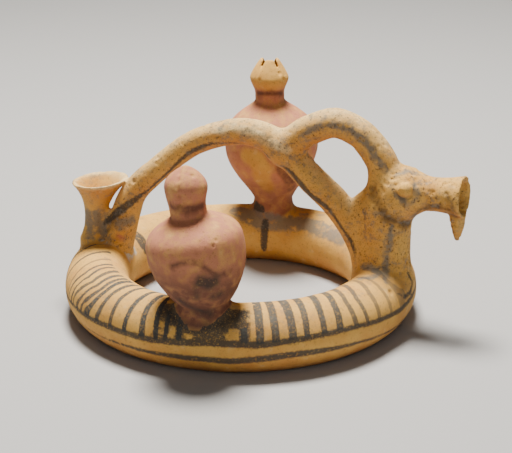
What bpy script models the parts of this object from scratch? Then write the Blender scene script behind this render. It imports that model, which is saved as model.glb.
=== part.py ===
# Ring vessel of fired clay: a hollow ring tube that carries a small funnel, a basket handle, a neck with an
# animal head whose muzzle is the spout, a loop handle behind the head and two pomegranates.
# The funnel stands at -X and the head looks toward +X. One pomegranate stands at -Y, the front, and one at +Y.
import math

import bmesh
import bpy
from mathutils import Matrix, Vector

# Driving sizes, in metres and degrees
RING_RADIUS = 0.0815            # of the circle that the tube's centre follows
TUBE_RADIUS = 0.0180
TUBE_WALL = 0.0045
UNDERSIDE_FLAT = 0.0012         # how much of the tube the resting face takes away

FUNNEL_HEIGHT = 0.0352          # over the top of the ring
FUNNEL_RIM_RADIUS = 0.0162
FUNNEL_STEM_RADIUS = 0.0063
FUNNEL_WALL = 0.0026
FUNNEL_OUTWARD = 0.0052         # from the tube's centre line
FUNNEL_LEAN = 0.0040            # inward, at the rim
FUNNEL_RIM_TILT = 5.0

ARCH_RISE = 0.0690              # centre line at the crest, over the top of the ring
ARCH_ROD_RADIUS = 0.0073
ARCH_FOOT_INWARD = 0.0080       # from the tube's centre line

LOOP_ROD_RADIUS = 0.0083
LOOP_RISE = 0.0293              # centre line at the crest, over the line between its two ends
LOOP_START_SHARE = 0.66         # where it leaves the basket handle, along that handle's span

NECK_RADIUS = 0.0144
NECK_WALL = 0.0045
HEAD_HEIGHT = 0.0418            # centre of the head over the top of the ring
HEAD_FORWARD = 0.0060           # centre of the head past the neck's axis
HEAD_HALF_LENGTH = 0.0140
HEAD_HALF_WIDTH = 0.0145
HEAD_HALF_HEIGHT = 0.0138

SPOUT_LENGTH = 0.0380           # from the centre of the head to the lip
SPOUT_RADIUS = 0.0093
SPOUT_LIP_RADIUS = 0.0115
SPOUT_WALL = 0.0030
SPOUT_TURN = 11.0               # toward the front
SPOUT_PITCH = 2.0               # upward
EYE_RADIUS = 0.0031
EYE_UP = 28.0                   # above the middle of the head
EYE_FORWARD = 24.0              # ahead of the widest part of the cheek
LUG_LENGTH = 0.0118             # under the lip
LUG_RADIUS = 0.0046

POMEGRANATE_WALL = 0.0045
CALYX_WALL = 0.0030
SEPAL_TIP_WALL = 0.0015

FRONT_HEIGHT = 0.0747           # over the top of the ring
FRONT_FOOT_RADIUS = 0.0136
FRONT_BELLY_RADIUS = 0.0253
FRONT_WAIST_RADIUS = 0.0094
FRONT_CALYX_RADIUS = 0.0111
FRONT_LEAN = 0.0083             # toward the funnel, at the top

BACK_HEIGHT = 0.0910
BACK_FOOT_RADIUS = 0.0116
BACK_BELLY_RADIUS = 0.0281
BACK_WAIST_RADIUS = 0.0087
BACK_CALYX_RADIUS = 0.0116
BACK_LEAN = 0.0026
BACK_TIP_RADIUS = 0.0053        # of the crown that the sepals' tips make
SEPAL_GAP = 0.0026              # between two sepals, at their tips
SEPAL_DEPTH = 0.0098
BACK_GAP = 0.0075               # the wider gap on the far side

# How finely the round forms are divided
RING_STEPS = 52
TUBE_SIDES = 20
BORE_RING_STEPS = 40
BORE_SIDES = 12
ROUND_STEPS = 22
HOLLOW_STEPS = 12
ROD_QUARTER_STEPS = 2

# Worked out from the driving sizes
TUBE_HEIGHT = TUBE_RADIUS - UNDERSIDE_FLAT
RING_TOP = TUBE_HEIGHT + TUBE_RADIUS
BORE_RADIUS = TUBE_RADIUS - TUBE_WALL
HEAD_CENTRE = Vector((RING_RADIUS + HEAD_FORWARD, 0.0, RING_TOP + HEAD_HEIGHT))

NAME = "ring_vessel"


def clear_scene():
    for thing in list(bpy.data.objects):
        bpy.data.objects.remove(thing, do_unlink=True)


def new_collection(name):
    group = bpy.data.collections.new(name)
    bpy.context.scene.collection.children.link(group)
    return group


def add_object(name, mesh, group):
    thing = bpy.data.objects.new(name, mesh)
    group.objects.link(thing)
    return thing


def freeze(thing):
    # The object's evaluated mesh takes the place of its modifiers, or of its curve.
    graph = bpy.context.evaluated_depsgraph_get()
    mesh = bpy.data.meshes.new_from_object(thing.evaluated_get(graph))
    name = thing.name
    matrix = thing.matrix_world.copy()
    group = thing.users_collection[0]
    bpy.data.objects.remove(thing, do_unlink=True)
    solid = add_object(name, mesh, group)
    solid.matrix_world = matrix
    mesh.shade_smooth()
    return solid


def turned(name, profile, steps, group, closed=False):
    # The profile is (radius, height) from top to bottom, turned about Z.
    count = len(profile)
    edges = [(i, i + 1) for i in range(count - 1)]
    if closed:
        edges.append((count - 1, 0))
    mesh = bpy.data.meshes.new(name)
    mesh.from_pydata([(radius, 0.0, height) for radius, height in profile], edges, [])
    thing = add_object(name, mesh, group)
    screw = thing.modifiers.new("turn", "SCREW")
    screw.steps = steps
    screw.render_steps = steps
    screw.use_merge_vertices = True
    screw.merge_threshold = 0.00005
    return thing


def warp(thing, place):
    # Hand-shaped leaning: each vertex goes where the given function puts it.
    for vertex in thing.data.vertices:
        vertex.co = place(vertex.co)
    return thing


def rod(name, points, radius, flares, group):
    # A round rod along smooth points, thicker at its ends by the factors in flares.
    curve = bpy.data.curves.new(name, "CURVE")
    curve.dimensions = "3D"
    curve.bevel_depth = radius
    curve.bevel_resolution = ROD_QUARTER_STEPS
    curve.resolution_u = 3
    curve.use_fill_caps = True
    spline = curve.splines.new("BEZIER")
    spline.bezier_points.add(len(points) - 1)
    for knot, point, flare in zip(spline.bezier_points, points, flares):
        knot.co = point
        knot.radius = flare
        knot.handle_left_type = "AUTO"
        knot.handle_right_type = "AUTO"
    solid = freeze(add_object(name, curve, group))
    weld(solid)
    return solid


def weld(thing):
    shape = bmesh.new()
    shape.from_mesh(thing.data)
    bmesh.ops.remove_doubles(shape, verts=shape.verts, dist=0.00005)
    bmesh.ops.recalc_face_normals(shape, faces=shape.faces)
    shape.to_mesh(thing.data)
    shape.free()


def ellipsoid(name, centre, half_sizes, group, segments, rings):
    bpy.ops.mesh.primitive_uv_sphere_add(segments=segments, ring_count=rings, radius=1.0)
    thing = bpy.context.active_object
    for owner in list(thing.users_collection):
        owner.objects.unlink(thing)
    group.objects.link(thing)
    thing.name = name
    thing.data.transform(Matrix.Diagonal((*half_sizes, 1.0)))
    thing.data.shade_smooth()
    thing.location = centre
    return thing


def smooth_step(share):
    share = min(max(share, 0.0), 1.0)
    return share * share * (3.0 - 2.0 * share)


def between(low, high, share):
    return low + (high - low) * share


def bore_outline():
    # A circle that runs down its outer side
    points = []
    for i in range(BORE_SIDES):
        angle = math.pi / 2 - 2 * math.pi * (i + 0.5) / BORE_SIDES
        across = RING_RADIUS + BORE_RADIUS * math.cos(angle)
        height = TUBE_HEIGHT + BORE_RADIUS * math.sin(angle)
        points.append((across, height))
    return points


def tube_outline():
    # The outer circle has corners where the flat begins and ends, so that the resting face is exact.
    half_flat = math.acos(TUBE_HEIGHT / TUBE_RADIUS)
    first = half_flat - math.pi / 2
    sweep = 2 * math.pi - 2 * half_flat
    points = []
    for i in range(TUBE_SIDES + 1):
        angle = first + sweep * i / TUBE_SIDES
        across = RING_RADIUS + TUBE_RADIUS * math.cos(angle)
        height = TUBE_HEIGHT + TUBE_RADIUS * math.sin(angle)
        points.append((across, height))
    points.reverse()
    return points


def make_ring(group):
    return turned(NAME, tube_outline(), RING_STEPS, group, closed=True)


def make_ring_bore(group):
    return turned("ring_bore", bore_outline(), BORE_RING_STEPS, group, closed=True)


def tube_surface(offset):
    # Height of the tube's top at a distance from its centre line
    reach = min(abs(offset), TUBE_RADIUS)
    return TUBE_HEIGHT + math.sqrt(TUBE_RADIUS * TUBE_RADIUS - reach * reach)


# The funnel: a stem that opens into a trumpet, with its axis leaning inward toward the rim
FUNNEL_STEM_SHARE = 0.30
FUNNEL_FLARE_POWER = 2.3
FUNNEL_FOOT_SPREAD = 0.0028


def funnel_radius(share):
    if share < FUNNEL_STEM_SHARE:
        spread = 1.0 - share / FUNNEL_STEM_SHARE
        return FUNNEL_STEM_RADIUS + FUNNEL_FOOT_SPREAD * spread * spread
    opening = (share - FUNNEL_STEM_SHARE) / (1.0 - FUNNEL_STEM_SHARE)
    return between(FUNNEL_STEM_RADIUS, FUNNEL_RIM_RADIUS, opening ** FUNNEL_FLARE_POWER)


def funnel_place(point):
    share = max(0.0, (point.z - RING_TOP) / FUNNEL_HEIGHT)
    tilt = math.tan(math.radians(FUNNEL_RIM_TILT))
    across = FUNNEL_LEAN * share * share
    return Vector((point.x + across, point.y, point.z + tilt * point.x * share ** 4))


def make_funnel(forms, hollows):
    steps = 9
    shares = [1.0 - i / steps for i in range(steps + 1)]
    rim = RING_TOP + FUNNEL_HEIGHT
    outside = [(0.0, rim), (FUNNEL_RIM_RADIUS - FUNNEL_WALL * 0.5, rim)]
    outside += [(funnel_radius(s), RING_TOP + FUNNEL_HEIGHT * min(s, 0.98)) for s in shares]
    root = FUNNEL_STEM_RADIUS + FUNNEL_FOOT_SPREAD
    sunk = tube_surface(FUNNEL_OUTWARD + root) - TUBE_WALL * 0.5
    outside += [(root * 1.15, sunk), (0.0, sunk)]
    shape = warp(freeze(turned("funnel", outside, ROUND_STEPS, forms)), funnel_place)
    shape.location.x = -RING_RADIUS - FUNNEL_OUTWARD

    above = rim + FUNNEL_WALL
    inside = [(0.0, above), (FUNNEL_RIM_RADIUS - FUNNEL_WALL * 0.6, above)]
    inside += [(funnel_radius(s) - FUNNEL_WALL, RING_TOP + FUNNEL_HEIGHT * s) for s in shares if s > 0.2]
    bore = FUNNEL_STEM_RADIUS - FUNNEL_WALL
    inside += [(bore, TUBE_HEIGHT), (0.0, TUBE_HEIGHT)]
    hollow = warp(freeze(turned("funnel_hollow", inside, HOLLOW_STEPS, hollows)), funnel_place)
    hollow.location.x = shape.location.x


# A pomegranate: the levels and the roundness of its curves are shares of its own height
FRONT_SHAPE = {
    "foot": 0.030, "belly": 0.400, "collar": 0.648, "waist": 0.708, "calyx": 0.849,
    "low_round": 0.78, "shoulder": 3.5, "hollow": 1.3,
}
BACK_SHAPE = {
    "foot": 0.048, "belly": 0.422, "collar": 0.724, "waist": 0.768, "calyx": 0.877,
    "low_round": 1.2, "shoulder": 3.0, "hollow": 1.5,
}
FOOT_SPREAD = 0.0022
CURVE_STEPS = 6


def body_curve(shape, foot, belly, waist):
    # (radius, share of the height) from the collar down to the foot
    points = []
    for i in range(CURVE_STEPS + 1):
        t = 1.0 - i / CURVE_STEPS
        dome = (1.0 - t ** shape["shoulder"]) ** shape["hollow"]
        points.append((between(waist, belly, dome), between(shape["belly"], shape["collar"], t)))
    for i in range(1, CURVE_STEPS + 1):
        t = 1.0 - i / CURVE_STEPS
        swell = math.sin(math.pi / 2 * t) ** shape["low_round"]
        points.append((between(foot, belly, swell), between(shape["foot"], shape["belly"], t)))
    return points


def neck_curve(shape, waist, calyx):
    # (radius, share of the height) from the widest part of the calyx down to the waist
    points = []
    for i in range(4):
        t = 1.0 - i / 3
        points.append((between(waist, calyx, smooth_step(t)), between(shape["waist"], shape["calyx"], t)))
    return points


def bud_curve(shape, calyx):
    # A closed bud: the top of the front pomegranate
    points = [(0.0, 1.0)]
    for i in range(1, 4):
        t = 1.0 - (i / 4) ** 1.5
        points.append((calyx * (1.0 - t * t) ** 0.8, between(shape["calyx"], 1.0, t)))
    return points


def crown_curve(shape, calyx, tip):
    # Sepals that lean together: the top of the back pomegranate
    points = []
    for i in range(4):
        t = 1.0 - i / 4
        points.append((between(calyx, tip, t ** 1.25), between(shape["calyx"], 1.0, t)))
    return points


def to_heights(points, height):
    return [(radius, RING_TOP + height * share) for radius, share in points]


def root_points(foot):
    # The foot spreads down over the tube and ends inside its wall.
    root = min(foot + FOOT_SPREAD, TUBE_RADIUS * 0.92)
    surface = tube_surface(root)
    sunk = surface - TUBE_WALL * 0.4
    return [(foot + FOOT_SPREAD * 0.25, RING_TOP), (root, surface), (root, sunk), (0.0, sunk)]


LEAN_END = 0.88                 # share of the height where the axis stands upright again


def leaning(height, lean):
    # Sections turn with the axis, which leans toward -X by lean between the foot and the calyx.
    def place(point):
        share = (point.z - RING_TOP) / height
        t = min(max(share / LEAN_END, 0.0), 1.0)
        slope = lean * 6.0 * t * (1.0 - t) / (LEAN_END * height)
        across = -lean * smooth_step(t)
        turn = Matrix.Rotation(-math.atan(slope), 3, "Y")
        section = turn @ Vector((point.x, point.y, 0.0))
        return Vector((across, 0.0, point.z)) + section
    return place


def make_front_pomegranate(forms, hollows):
    shape = FRONT_SHAPE
    body = body_curve(shape, FRONT_FOOT_RADIUS, FRONT_BELLY_RADIUS, FRONT_WAIST_RADIUS)
    neck = neck_curve(shape, FRONT_WAIST_RADIUS, FRONT_CALYX_RADIUS)
    outside = bud_curve(shape, FRONT_CALYX_RADIUS) + neck + body
    outside = to_heights(outside, FRONT_HEIGHT) + root_points(FRONT_FOOT_RADIUS)
    fruit = freeze(turned("front_pomegranate", outside, ROUND_STEPS, forms))
    warp(fruit, leaning(FRONT_HEIGHT, FRONT_LEAN))
    fruit.location.y = -RING_RADIUS

    wall = POMEGRANATE_WALL
    inside = [(max(radius - wall, 0.0), share) for radius, share in body if radius > wall * 2.6]
    top = inside[0][1] + wall / FRONT_HEIGHT * 0.3
    inside = to_heights([(0.0, top)] + inside, FRONT_HEIGHT)
    inside += [(FRONT_FOOT_RADIUS - wall, TUBE_HEIGHT), (0.0, TUBE_HEIGHT)]
    hollow = freeze(turned("front_hollow", inside, HOLLOW_STEPS, hollows))
    warp(hollow, leaning(FRONT_HEIGHT, FRONT_LEAN))
    hollow.location.y = -RING_RADIUS


# Where the crown is open between its three sepals: name, direction in degrees, width
SEPAL_GAPS = (
    ("gap_left", -119.0, SEPAL_GAP),
    ("gap_right", -35.0, SEPAL_GAP),
    ("gap_back", 103.0, BACK_GAP),
)


def make_back_pomegranate(forms, hollows):
    shape = BACK_SHAPE
    body = body_curve(shape, BACK_FOOT_RADIUS, BACK_BELLY_RADIUS, BACK_WAIST_RADIUS)
    neck = neck_curve(shape, BACK_WAIST_RADIUS, BACK_CALYX_RADIUS)
    crown = crown_curve(shape, BACK_CALYX_RADIUS, BACK_TIP_RADIUS)
    outside = [(0.0, 1.0)] + crown + neck + body
    outside = to_heights(outside, BACK_HEIGHT) + root_points(BACK_FOOT_RADIUS)
    fruit = freeze(turned("back_pomegranate", outside, ROUND_STEPS, forms))
    warp(fruit, leaning(BACK_HEIGHT, BACK_LEAN))
    fruit.location.y = RING_RADIUS

    wall = POMEGRANATE_WALL
    above = 1.0 + CALYX_WALL / BACK_HEIGHT
    tip = (BACK_TIP_RADIUS - SEPAL_TIP_WALL, above)
    cup = [(radius - CALYX_WALL, share) for radius, share in crown[1:] + neck[:2]]
    belly = [(radius - wall, share) for radius, share in body]
    inside = [(0.0, above), tip] + cup + belly
    inside = to_heights(inside, BACK_HEIGHT)
    inside += [(BACK_FOOT_RADIUS - wall, TUBE_HEIGHT), (0.0, TUBE_HEIGHT)]
    hollow = freeze(turned("back_hollow", inside, HOLLOW_STEPS, hollows))
    warp(hollow, leaning(BACK_HEIGHT, BACK_LEAN))
    hollow.location.y = RING_RADIUS
    for name, turn, width in SEPAL_GAPS:
        make_sepal_gap(name, turn, width, hollows)


def make_sepal_gap(name, turn, width, hollows):
    # A wedge from the crown's middle outward, widest at the tips and sharp at the bottom
    bpy.ops.mesh.primitive_cylinder_add(vertices=3, radius=1.0, depth=1.0)
    wedge = bpy.context.active_object
    for owner in list(wedge.users_collection):
        owner.objects.unlink(wedge)
    hollows.objects.link(wedge)
    wedge.name = name
    over = 1.3
    depth = SEPAL_DEPTH * over
    reach = BACK_CALYX_RADIUS * 1.2
    lay_down = Matrix.Rotation(math.pi / 2, 4, "Y") @ Matrix.Rotation(-math.pi / 2, 4, "Z")
    size = Matrix.Diagonal((reach, width * over / math.sqrt(3.0), depth / 1.5, 1.0))
    wedge.data.transform(Matrix.Translation((reach / 2, 0.0, depth / 1.5)) @ size @ lay_down)
    wedge.rotation_euler.z = math.radians(turn)
    wedge.location = (-BACK_LEAN, RING_RADIUS, RING_TOP + BACK_HEIGHT - SEPAL_DEPTH)


# The basket handle: (share of its span, share of its rise, thickness) from the left foot to the neck
ARCH_PATH = (
    (0.000, -0.060, 1.25),
    (0.040, 0.250, 1.12),
    (0.085, 0.450, 1.00),
    (0.186, 0.660, 0.96),
    (0.320, 0.883, 0.96),
    (0.488, 1.000, 1.00),
    (0.630, 0.935, 1.06),
    (0.780, 0.635, 1.10),
    (0.865, 0.465, 1.10),
    (0.930, 0.280, 1.12),
    (0.975, 0.100, 1.15),
    (1.000, -0.060, 1.20),
)


def arch_point(share, rise):
    span = 2 * (RING_RADIUS - ARCH_FOOT_INWARD)
    return Vector((span * (share - 0.5), 0.0, RING_TOP + ARCH_RISE * rise))


def arch_at(share):
    # The centre line where the loop handle leaves it
    for left, right in zip(ARCH_PATH, ARCH_PATH[1:]):
        if left[0] <= share <= right[0]:
            t = (share - left[0]) / (right[0] - left[0])
            return arch_point(share, between(left[1], right[1], t))
    return arch_point(*ARCH_PATH[-1][:2])


def make_arch(forms):
    points = [arch_point(share, rise) for share, rise, _ in ARCH_PATH]
    rod("basket_handle", points, ARCH_ROD_RADIUS, [flare for _, _, flare in ARCH_PATH], forms)


# The loop handle: (share of the way to the head, share of its rise, thickness)
LOOP_PATH = (
    (0.000, 0.00, 1.06),
    (0.133, 0.32, 1.03),
    (0.288, 0.66, 1.00),
    (0.520, 0.99, 0.98),
    (0.751, 1.00, 0.98),
    (0.854, 0.90, 1.00),
    (0.932, 0.77, 1.02),
    (0.990, 0.60, 1.04),
    (1.010, 0.30, 1.08),
    (1.000, 0.00, 1.10),
)


def make_loop(forms):
    start = arch_at(LOOP_START_SHARE)
    end = HEAD_CENTRE + Vector((-0.55 * HEAD_HALF_LENGTH, 0.0, -0.3 * HEAD_HALF_HEIGHT))
    points = []
    for share, rise, _ in LOOP_PATH:
        points.append(start.lerp(end, share) + Vector((0.0, 0.0, LOOP_RISE * rise)))
    rod("loop_handle", points, LOOP_ROD_RADIUS, [flare for _, _, flare in LOOP_PATH], forms)


FILL_SHARE = 0.90               # of the basket handle's span, where its filled corner begins


def make_neck(forms, hollows):
    spread = min(NECK_RADIUS + TUBE_WALL * 0.5, TUBE_RADIUS * 0.95)
    low = tube_surface(spread) - TUBE_WALL * 0.2
    shoulder = HEAD_CENTRE.z - HEAD_HALF_HEIGHT * 0.75
    outside = []
    for i in range(5):
        angle = math.pi / 2 * i / 4
        outside.append((NECK_RADIUS * math.sin(angle), shoulder + HEAD_HALF_HEIGHT * math.cos(angle)))
    outside += [(NECK_RADIUS, RING_TOP + TUBE_WALL), (spread, RING_TOP - TUBE_WALL), (spread, low), (0.0, low)]
    shape = turned("neck", outside, ROUND_STEPS, forms)
    shape.location.x = RING_RADIUS

    # The bore narrows inside the head, so that the wall behind the head keeps its thickness.
    bore = NECK_RADIUS - NECK_WALL
    narrow = SPOUT_RADIUS - SPOUT_WALL
    top = HEAD_CENTRE.z + narrow * 0.7
    inside = [(0.0, top), (narrow * 0.9, top), (narrow, HEAD_CENTRE.z - narrow * 0.5)]
    inside += [(bore, HEAD_CENTRE.z - HEAD_HALF_HEIGHT), (bore, TUBE_HEIGHT), (0.0, TUBE_HEIGHT)]
    hollow = turned("neck_hollow", inside, HOLLOW_STEPS + 2, hollows)
    hollow.location.x = RING_RADIUS

    # The clay that fills the corner between the basket handle, the loop handle and the neck
    outer = arch_at(FILL_SHARE).x
    centre = Vector(((outer + RING_RADIUS) / 2, 0.0, HEAD_CENTRE.z - HEAD_HALF_HEIGHT * 1.25))
    half_sizes = ((RING_RADIUS - outer) * 0.62, ARCH_ROD_RADIUS * 1.15, HEAD_HALF_HEIGHT * 1.15)
    ellipsoid("corner_fill", centre, half_sizes, forms, 16, 10)


def spout_matrix():
    aim = Matrix.Rotation(-math.radians(SPOUT_TURN), 4, "Z")
    aim = aim @ Matrix.Rotation(-math.radians(SPOUT_PITCH), 4, "Y")
    return Matrix.Translation(HEAD_CENTRE) @ aim @ Matrix.Rotation(math.pi / 2, 4, "Y")


def make_spout(forms, hollows):
    # The profile runs from the lip back into the head, along the muzzle.
    lip = SPOUT_LENGTH
    round_off = SPOUT_WALL * 0.4
    outside = [
        (0.0, lip),
        (SPOUT_LIP_RADIUS - round_off, lip),
        (SPOUT_LIP_RADIUS, lip - round_off),
        (between(SPOUT_RADIUS, SPOUT_LIP_RADIUS, 0.62), lip * 0.90),
        (between(SPOUT_RADIUS, SPOUT_LIP_RADIUS, 0.20), lip * 0.78),
        (SPOUT_RADIUS, lip * 0.62),
        (SPOUT_RADIUS * 1.03, lip * 0.46),
        (between(SPOUT_RADIUS, HEAD_HALF_HEIGHT, 0.35), lip * 0.34),
        (between(SPOUT_RADIUS, HEAD_HALF_HEIGHT, 0.62), lip * 0.20),
        (between(SPOUT_RADIUS, HEAD_HALF_HEIGHT, 0.50), 0.0),
        (0.0, 0.0),
    ]
    muzzle = turned("muzzle", outside, ROUND_STEPS, forms)
    muzzle.matrix_world = spout_matrix()

    past = lip + SPOUT_WALL
    inside = [
        (0.0, past),
        (SPOUT_LIP_RADIUS - SPOUT_WALL * 0.5, past),
        (SPOUT_LIP_RADIUS - SPOUT_WALL * 0.7, lip),
        (SPOUT_RADIUS - SPOUT_WALL * 0.8, lip * 0.85),
        (SPOUT_RADIUS - SPOUT_WALL, lip * 0.62),
        (SPOUT_RADIUS - SPOUT_WALL, -HEAD_FORWARD),
        (0.0, -HEAD_FORWARD),
    ]
    hollow = turned("muzzle_hollow", inside, HOLLOW_STEPS + 2, hollows)
    hollow.matrix_world = spout_matrix()


def make_head(forms):
    half_sizes = (HEAD_HALF_LENGTH, HEAD_HALF_WIDTH, HEAD_HALF_HEIGHT)
    ellipsoid("skull", HEAD_CENTRE, half_sizes, forms, 20, 12)
    jaw_sizes = [size * 0.84 for size in half_sizes]
    jaw_centre = HEAD_CENTRE + Vector((0.0, 0.0, -HEAD_HALF_HEIGHT * 0.42))
    ellipsoid("jaw", jaw_centre, jaw_sizes, forms, 16, 10)
    for side in (-1.0, 1.0):
        # The eyes sit on the skull's surface, high on the cheeks.
        level = math.cos(math.radians(EYE_UP))
        ahead = math.radians(EYE_FORWARD)
        toward = (math.sin(ahead) * level, side * math.cos(ahead) * level, math.sin(math.radians(EYE_UP)))
        place = Vector([a * b for a, b in zip(toward, half_sizes)])
        sizes = (EYE_RADIUS, EYE_RADIUS, EYE_RADIUS)
        ellipsoid("eye_%s" % ("front" if side < 0 else "back"), HEAD_CENTRE + place, sizes, forms, 12, 8)
    lip = spout_matrix() @ Vector((SPOUT_LIP_RADIUS, 0.0, SPOUT_LENGTH - LUG_RADIUS * 0.75))
    top = lip + Vector((-LUG_RADIUS * 0.1, 0.0, LUG_LENGTH * 0.25))
    tip = lip - Vector((0.0, 0.0, LUG_LENGTH))
    rod("lug", (top, top.lerp(tip, 0.45), tip), LUG_RADIUS, (1.0, 0.85, 0.36), forms)


def add_boolean(thing, operation, group):
    step = thing.modifiers.new(operation.lower(), "BOOLEAN")
    step.operation = operation
    step.operand_type = "COLLECTION"
    step.collection = group
    step.solver = "EXACT"


def clay():
    material = bpy.data.materials.new("fired_clay")
    material.use_nodes = True
    shader = material.node_tree.nodes["Principled BSDF"]
    shader.inputs["Base Color"].default_value = (0.50, 0.31, 0.13, 1.0)
    shader.inputs["Roughness"].default_value = 0.85
    shader.inputs["Metallic"].default_value = 0.0
    return material


def rest_on_origin(vessel, others):
    # The origin goes to the middle of the resting plane of the vessel's box.
    graph = bpy.context.evaluated_depsgraph_get()
    shape = vessel.evaluated_get(graph)
    corners = [shape.matrix_world @ vertex.co for vertex in shape.data.vertices]
    low = Vector([min(corner[axis] for corner in corners) for axis in range(3)])
    high = Vector([max(corner[axis] for corner in corners) for axis in range(3)])
    base = bpy.data.objects.new("vessel_base", None)
    vessel.users_collection[0].objects.link(base)
    for thing in [vessel] + others:
        thing.parent = base
    base.location = (-(low.x + high.x) / 2, -(low.y + high.y) / 2, -low.z)


def build():
    clear_scene()
    body = new_collection(NAME)
    forms = new_collection("luted_forms")
    hollows = new_collection("hollows")
    vessel = make_ring(body)
    make_funnel(forms, hollows)
    make_front_pomegranate(forms, hollows)
    make_back_pomegranate(forms, hollows)
    make_arch(forms)
    make_loop(forms)
    make_neck(forms, hollows)
    make_spout(forms, hollows)
    make_head(forms)
    make_ring_bore(hollows)
    guides = list(forms.objects) + list(hollows.objects)
    for thing in guides:
        thing.hide_render = True
        thing.display_type = "WIRE"
    add_boolean(vessel, "UNION", forms)
    add_boolean(vessel, "DIFFERENCE", hollows)
    vessel.data.materials.append(clay())
    bpy.context.view_layer.update()
    rest_on_origin(vessel, guides)


build()
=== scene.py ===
import math
import time

import bmesh
import bpy
import numpy as np
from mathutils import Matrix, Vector


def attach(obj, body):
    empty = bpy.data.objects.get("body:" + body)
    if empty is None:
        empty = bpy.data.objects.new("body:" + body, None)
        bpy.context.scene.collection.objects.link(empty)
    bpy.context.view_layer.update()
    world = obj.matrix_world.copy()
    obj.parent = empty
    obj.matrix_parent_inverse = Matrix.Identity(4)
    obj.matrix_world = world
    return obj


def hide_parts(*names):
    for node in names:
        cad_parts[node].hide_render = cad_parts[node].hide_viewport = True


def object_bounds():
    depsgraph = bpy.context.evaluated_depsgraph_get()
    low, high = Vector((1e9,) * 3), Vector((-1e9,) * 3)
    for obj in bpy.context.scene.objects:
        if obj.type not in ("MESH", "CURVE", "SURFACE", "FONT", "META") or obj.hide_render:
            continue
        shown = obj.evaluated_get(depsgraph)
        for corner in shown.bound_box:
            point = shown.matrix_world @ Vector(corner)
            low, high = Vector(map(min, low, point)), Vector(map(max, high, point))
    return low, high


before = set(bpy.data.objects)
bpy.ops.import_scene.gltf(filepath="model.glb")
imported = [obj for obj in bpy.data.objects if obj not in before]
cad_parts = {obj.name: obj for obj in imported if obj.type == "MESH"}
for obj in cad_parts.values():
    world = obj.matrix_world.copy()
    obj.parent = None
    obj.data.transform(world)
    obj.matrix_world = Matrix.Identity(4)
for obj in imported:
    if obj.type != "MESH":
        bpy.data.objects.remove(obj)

# Ring vessel of fired clay. Everything is worked out in millimetres round the middle of the ring, with the
# table at height zero, and goes to the part's own frame in metres at the end.
startTime = time.time()
ringMiddle = np.array([-13.677, -1.386, 0.0])      # the middle of the ring in the part's frame, in mm
cadBox = [[float(x) for x in corner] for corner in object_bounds()]


def report(stage):
    print("%6.1f s  %s" % (time.time() - startTime, stage))


def toPart(points):
    # part = (ring + middle) / 1000
    return (np.asarray(points, float) + ringMiddle) / 1000.0


# Camera and studio
photoView = {
    "place": (191.9, -769.6, 337.3),     # mm, round the middle of the ring
    "turn": 13.40,                       # degrees, to the left of straight ahead
    "down": 20.02,                       # degrees
    "lens": 105.47,                      # mm, on a sensor 36 mm wide
}


def makeCamera(values):
    data = bpy.data.cameras.new("photo_view")
    data.lens = values["lens"]
    data.sensor_width = 36.0
    data.sensor_fit = "HORIZONTAL"
    data.clip_start = 0.05
    data.clip_end = 20.0
    camera = bpy.data.objects.new("photo_view", data)
    bpy.context.scene.collection.objects.link(camera)
    camera.location = toPart(values["place"])
    camera.rotation_euler = (math.radians(90.0 - values["down"]), 0.0, math.radians(values["turn"]))
    bpy.context.scene.camera = camera


studio = {
    "floor": (0.40, 0.392, 0.38), "floorHalf": 6.0, "floorDrop": 0.0002,      # metres
    "key": {"place": (-0.12, 0.26, 1.25), "size": 0.45, "power": 54.0, "tint": (1.0, 0.97, 0.92)},
    "fill": {"place": (0.45, -1.50, 0.95), "size": 1.40, "power": 5.5, "tint": (1.0, 0.98, 0.96)},
    "sky": 0.09,
}


def makeLight(name, values):
    data = bpy.data.lights.new(name, "AREA")
    data.shape = "DISK"
    data.size = values["size"]
    data.energy = values["power"]
    data.color = values["tint"]
    light = bpy.data.objects.new(name, data)
    bpy.context.scene.collection.objects.link(light)
    light.location = values["place"]
    aim = Vector((0.0, 0.0, 0.05)) - Vector(values["place"])
    light.rotation_euler = aim.to_track_quat("-Z", "Y").to_euler()


def makeStudio(values):
    half, low = values["floorHalf"], -values["floorDrop"]
    mesh = bpy.data.meshes.new("floor")
    corners = [(-half, -half, low), (half, -half, low), (half, half, low), (-half, half, low)]
    mesh.from_pydata(corners, [], [(0, 1, 2, 3)])
    floor = bpy.data.objects.new("floor", mesh)
    bpy.context.scene.collection.objects.link(floor)
    material = bpy.data.materials.new("pale_floor")
    material.use_nodes = True
    shader = material.node_tree.nodes["Principled BSDF"]
    shader.inputs["Base Color"].default_value = (*values["floor"], 1.0)
    shader.inputs["Roughness"].default_value = 0.7
    mesh.materials.append(material)
    makeLight("key", values["key"])
    makeLight("fill", values["fill"])
    world = bpy.data.worlds.new("soft_studio")
    world.use_nodes = True
    world.node_tree.nodes["Background"].inputs["Color"].default_value = (0.95, 0.97, 1.0, 1.0)
    world.node_tree.nodes["Background"].inputs["Strength"].default_value = values["sky"]
    bpy.context.scene.world = world


makeCamera(photoView)
makeStudio(studio)
report("camera and studio")


# Helpers for whole arrays of points
def smoothStep(share):
    share = np.clip(share, 0.0, 1.0)
    return share * share * (3.0 - 2.0 * share)


def mix(low, high, share):
    return low + (high - low) * share


def meltTogether(a, b, reach):
    # Smooth least of two distances: where they differ by less than reach, clay fills the corner between them.
    gap = np.maximum(reach - np.abs(a - b), 0.0) / reach
    return np.minimum(a, b) - gap * gap * reach * 0.25


def cutAway(a, b, reach):
    # The first form less the second, with an edge rounded over reach
    return -meltTogether(-a, b, reach)


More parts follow.
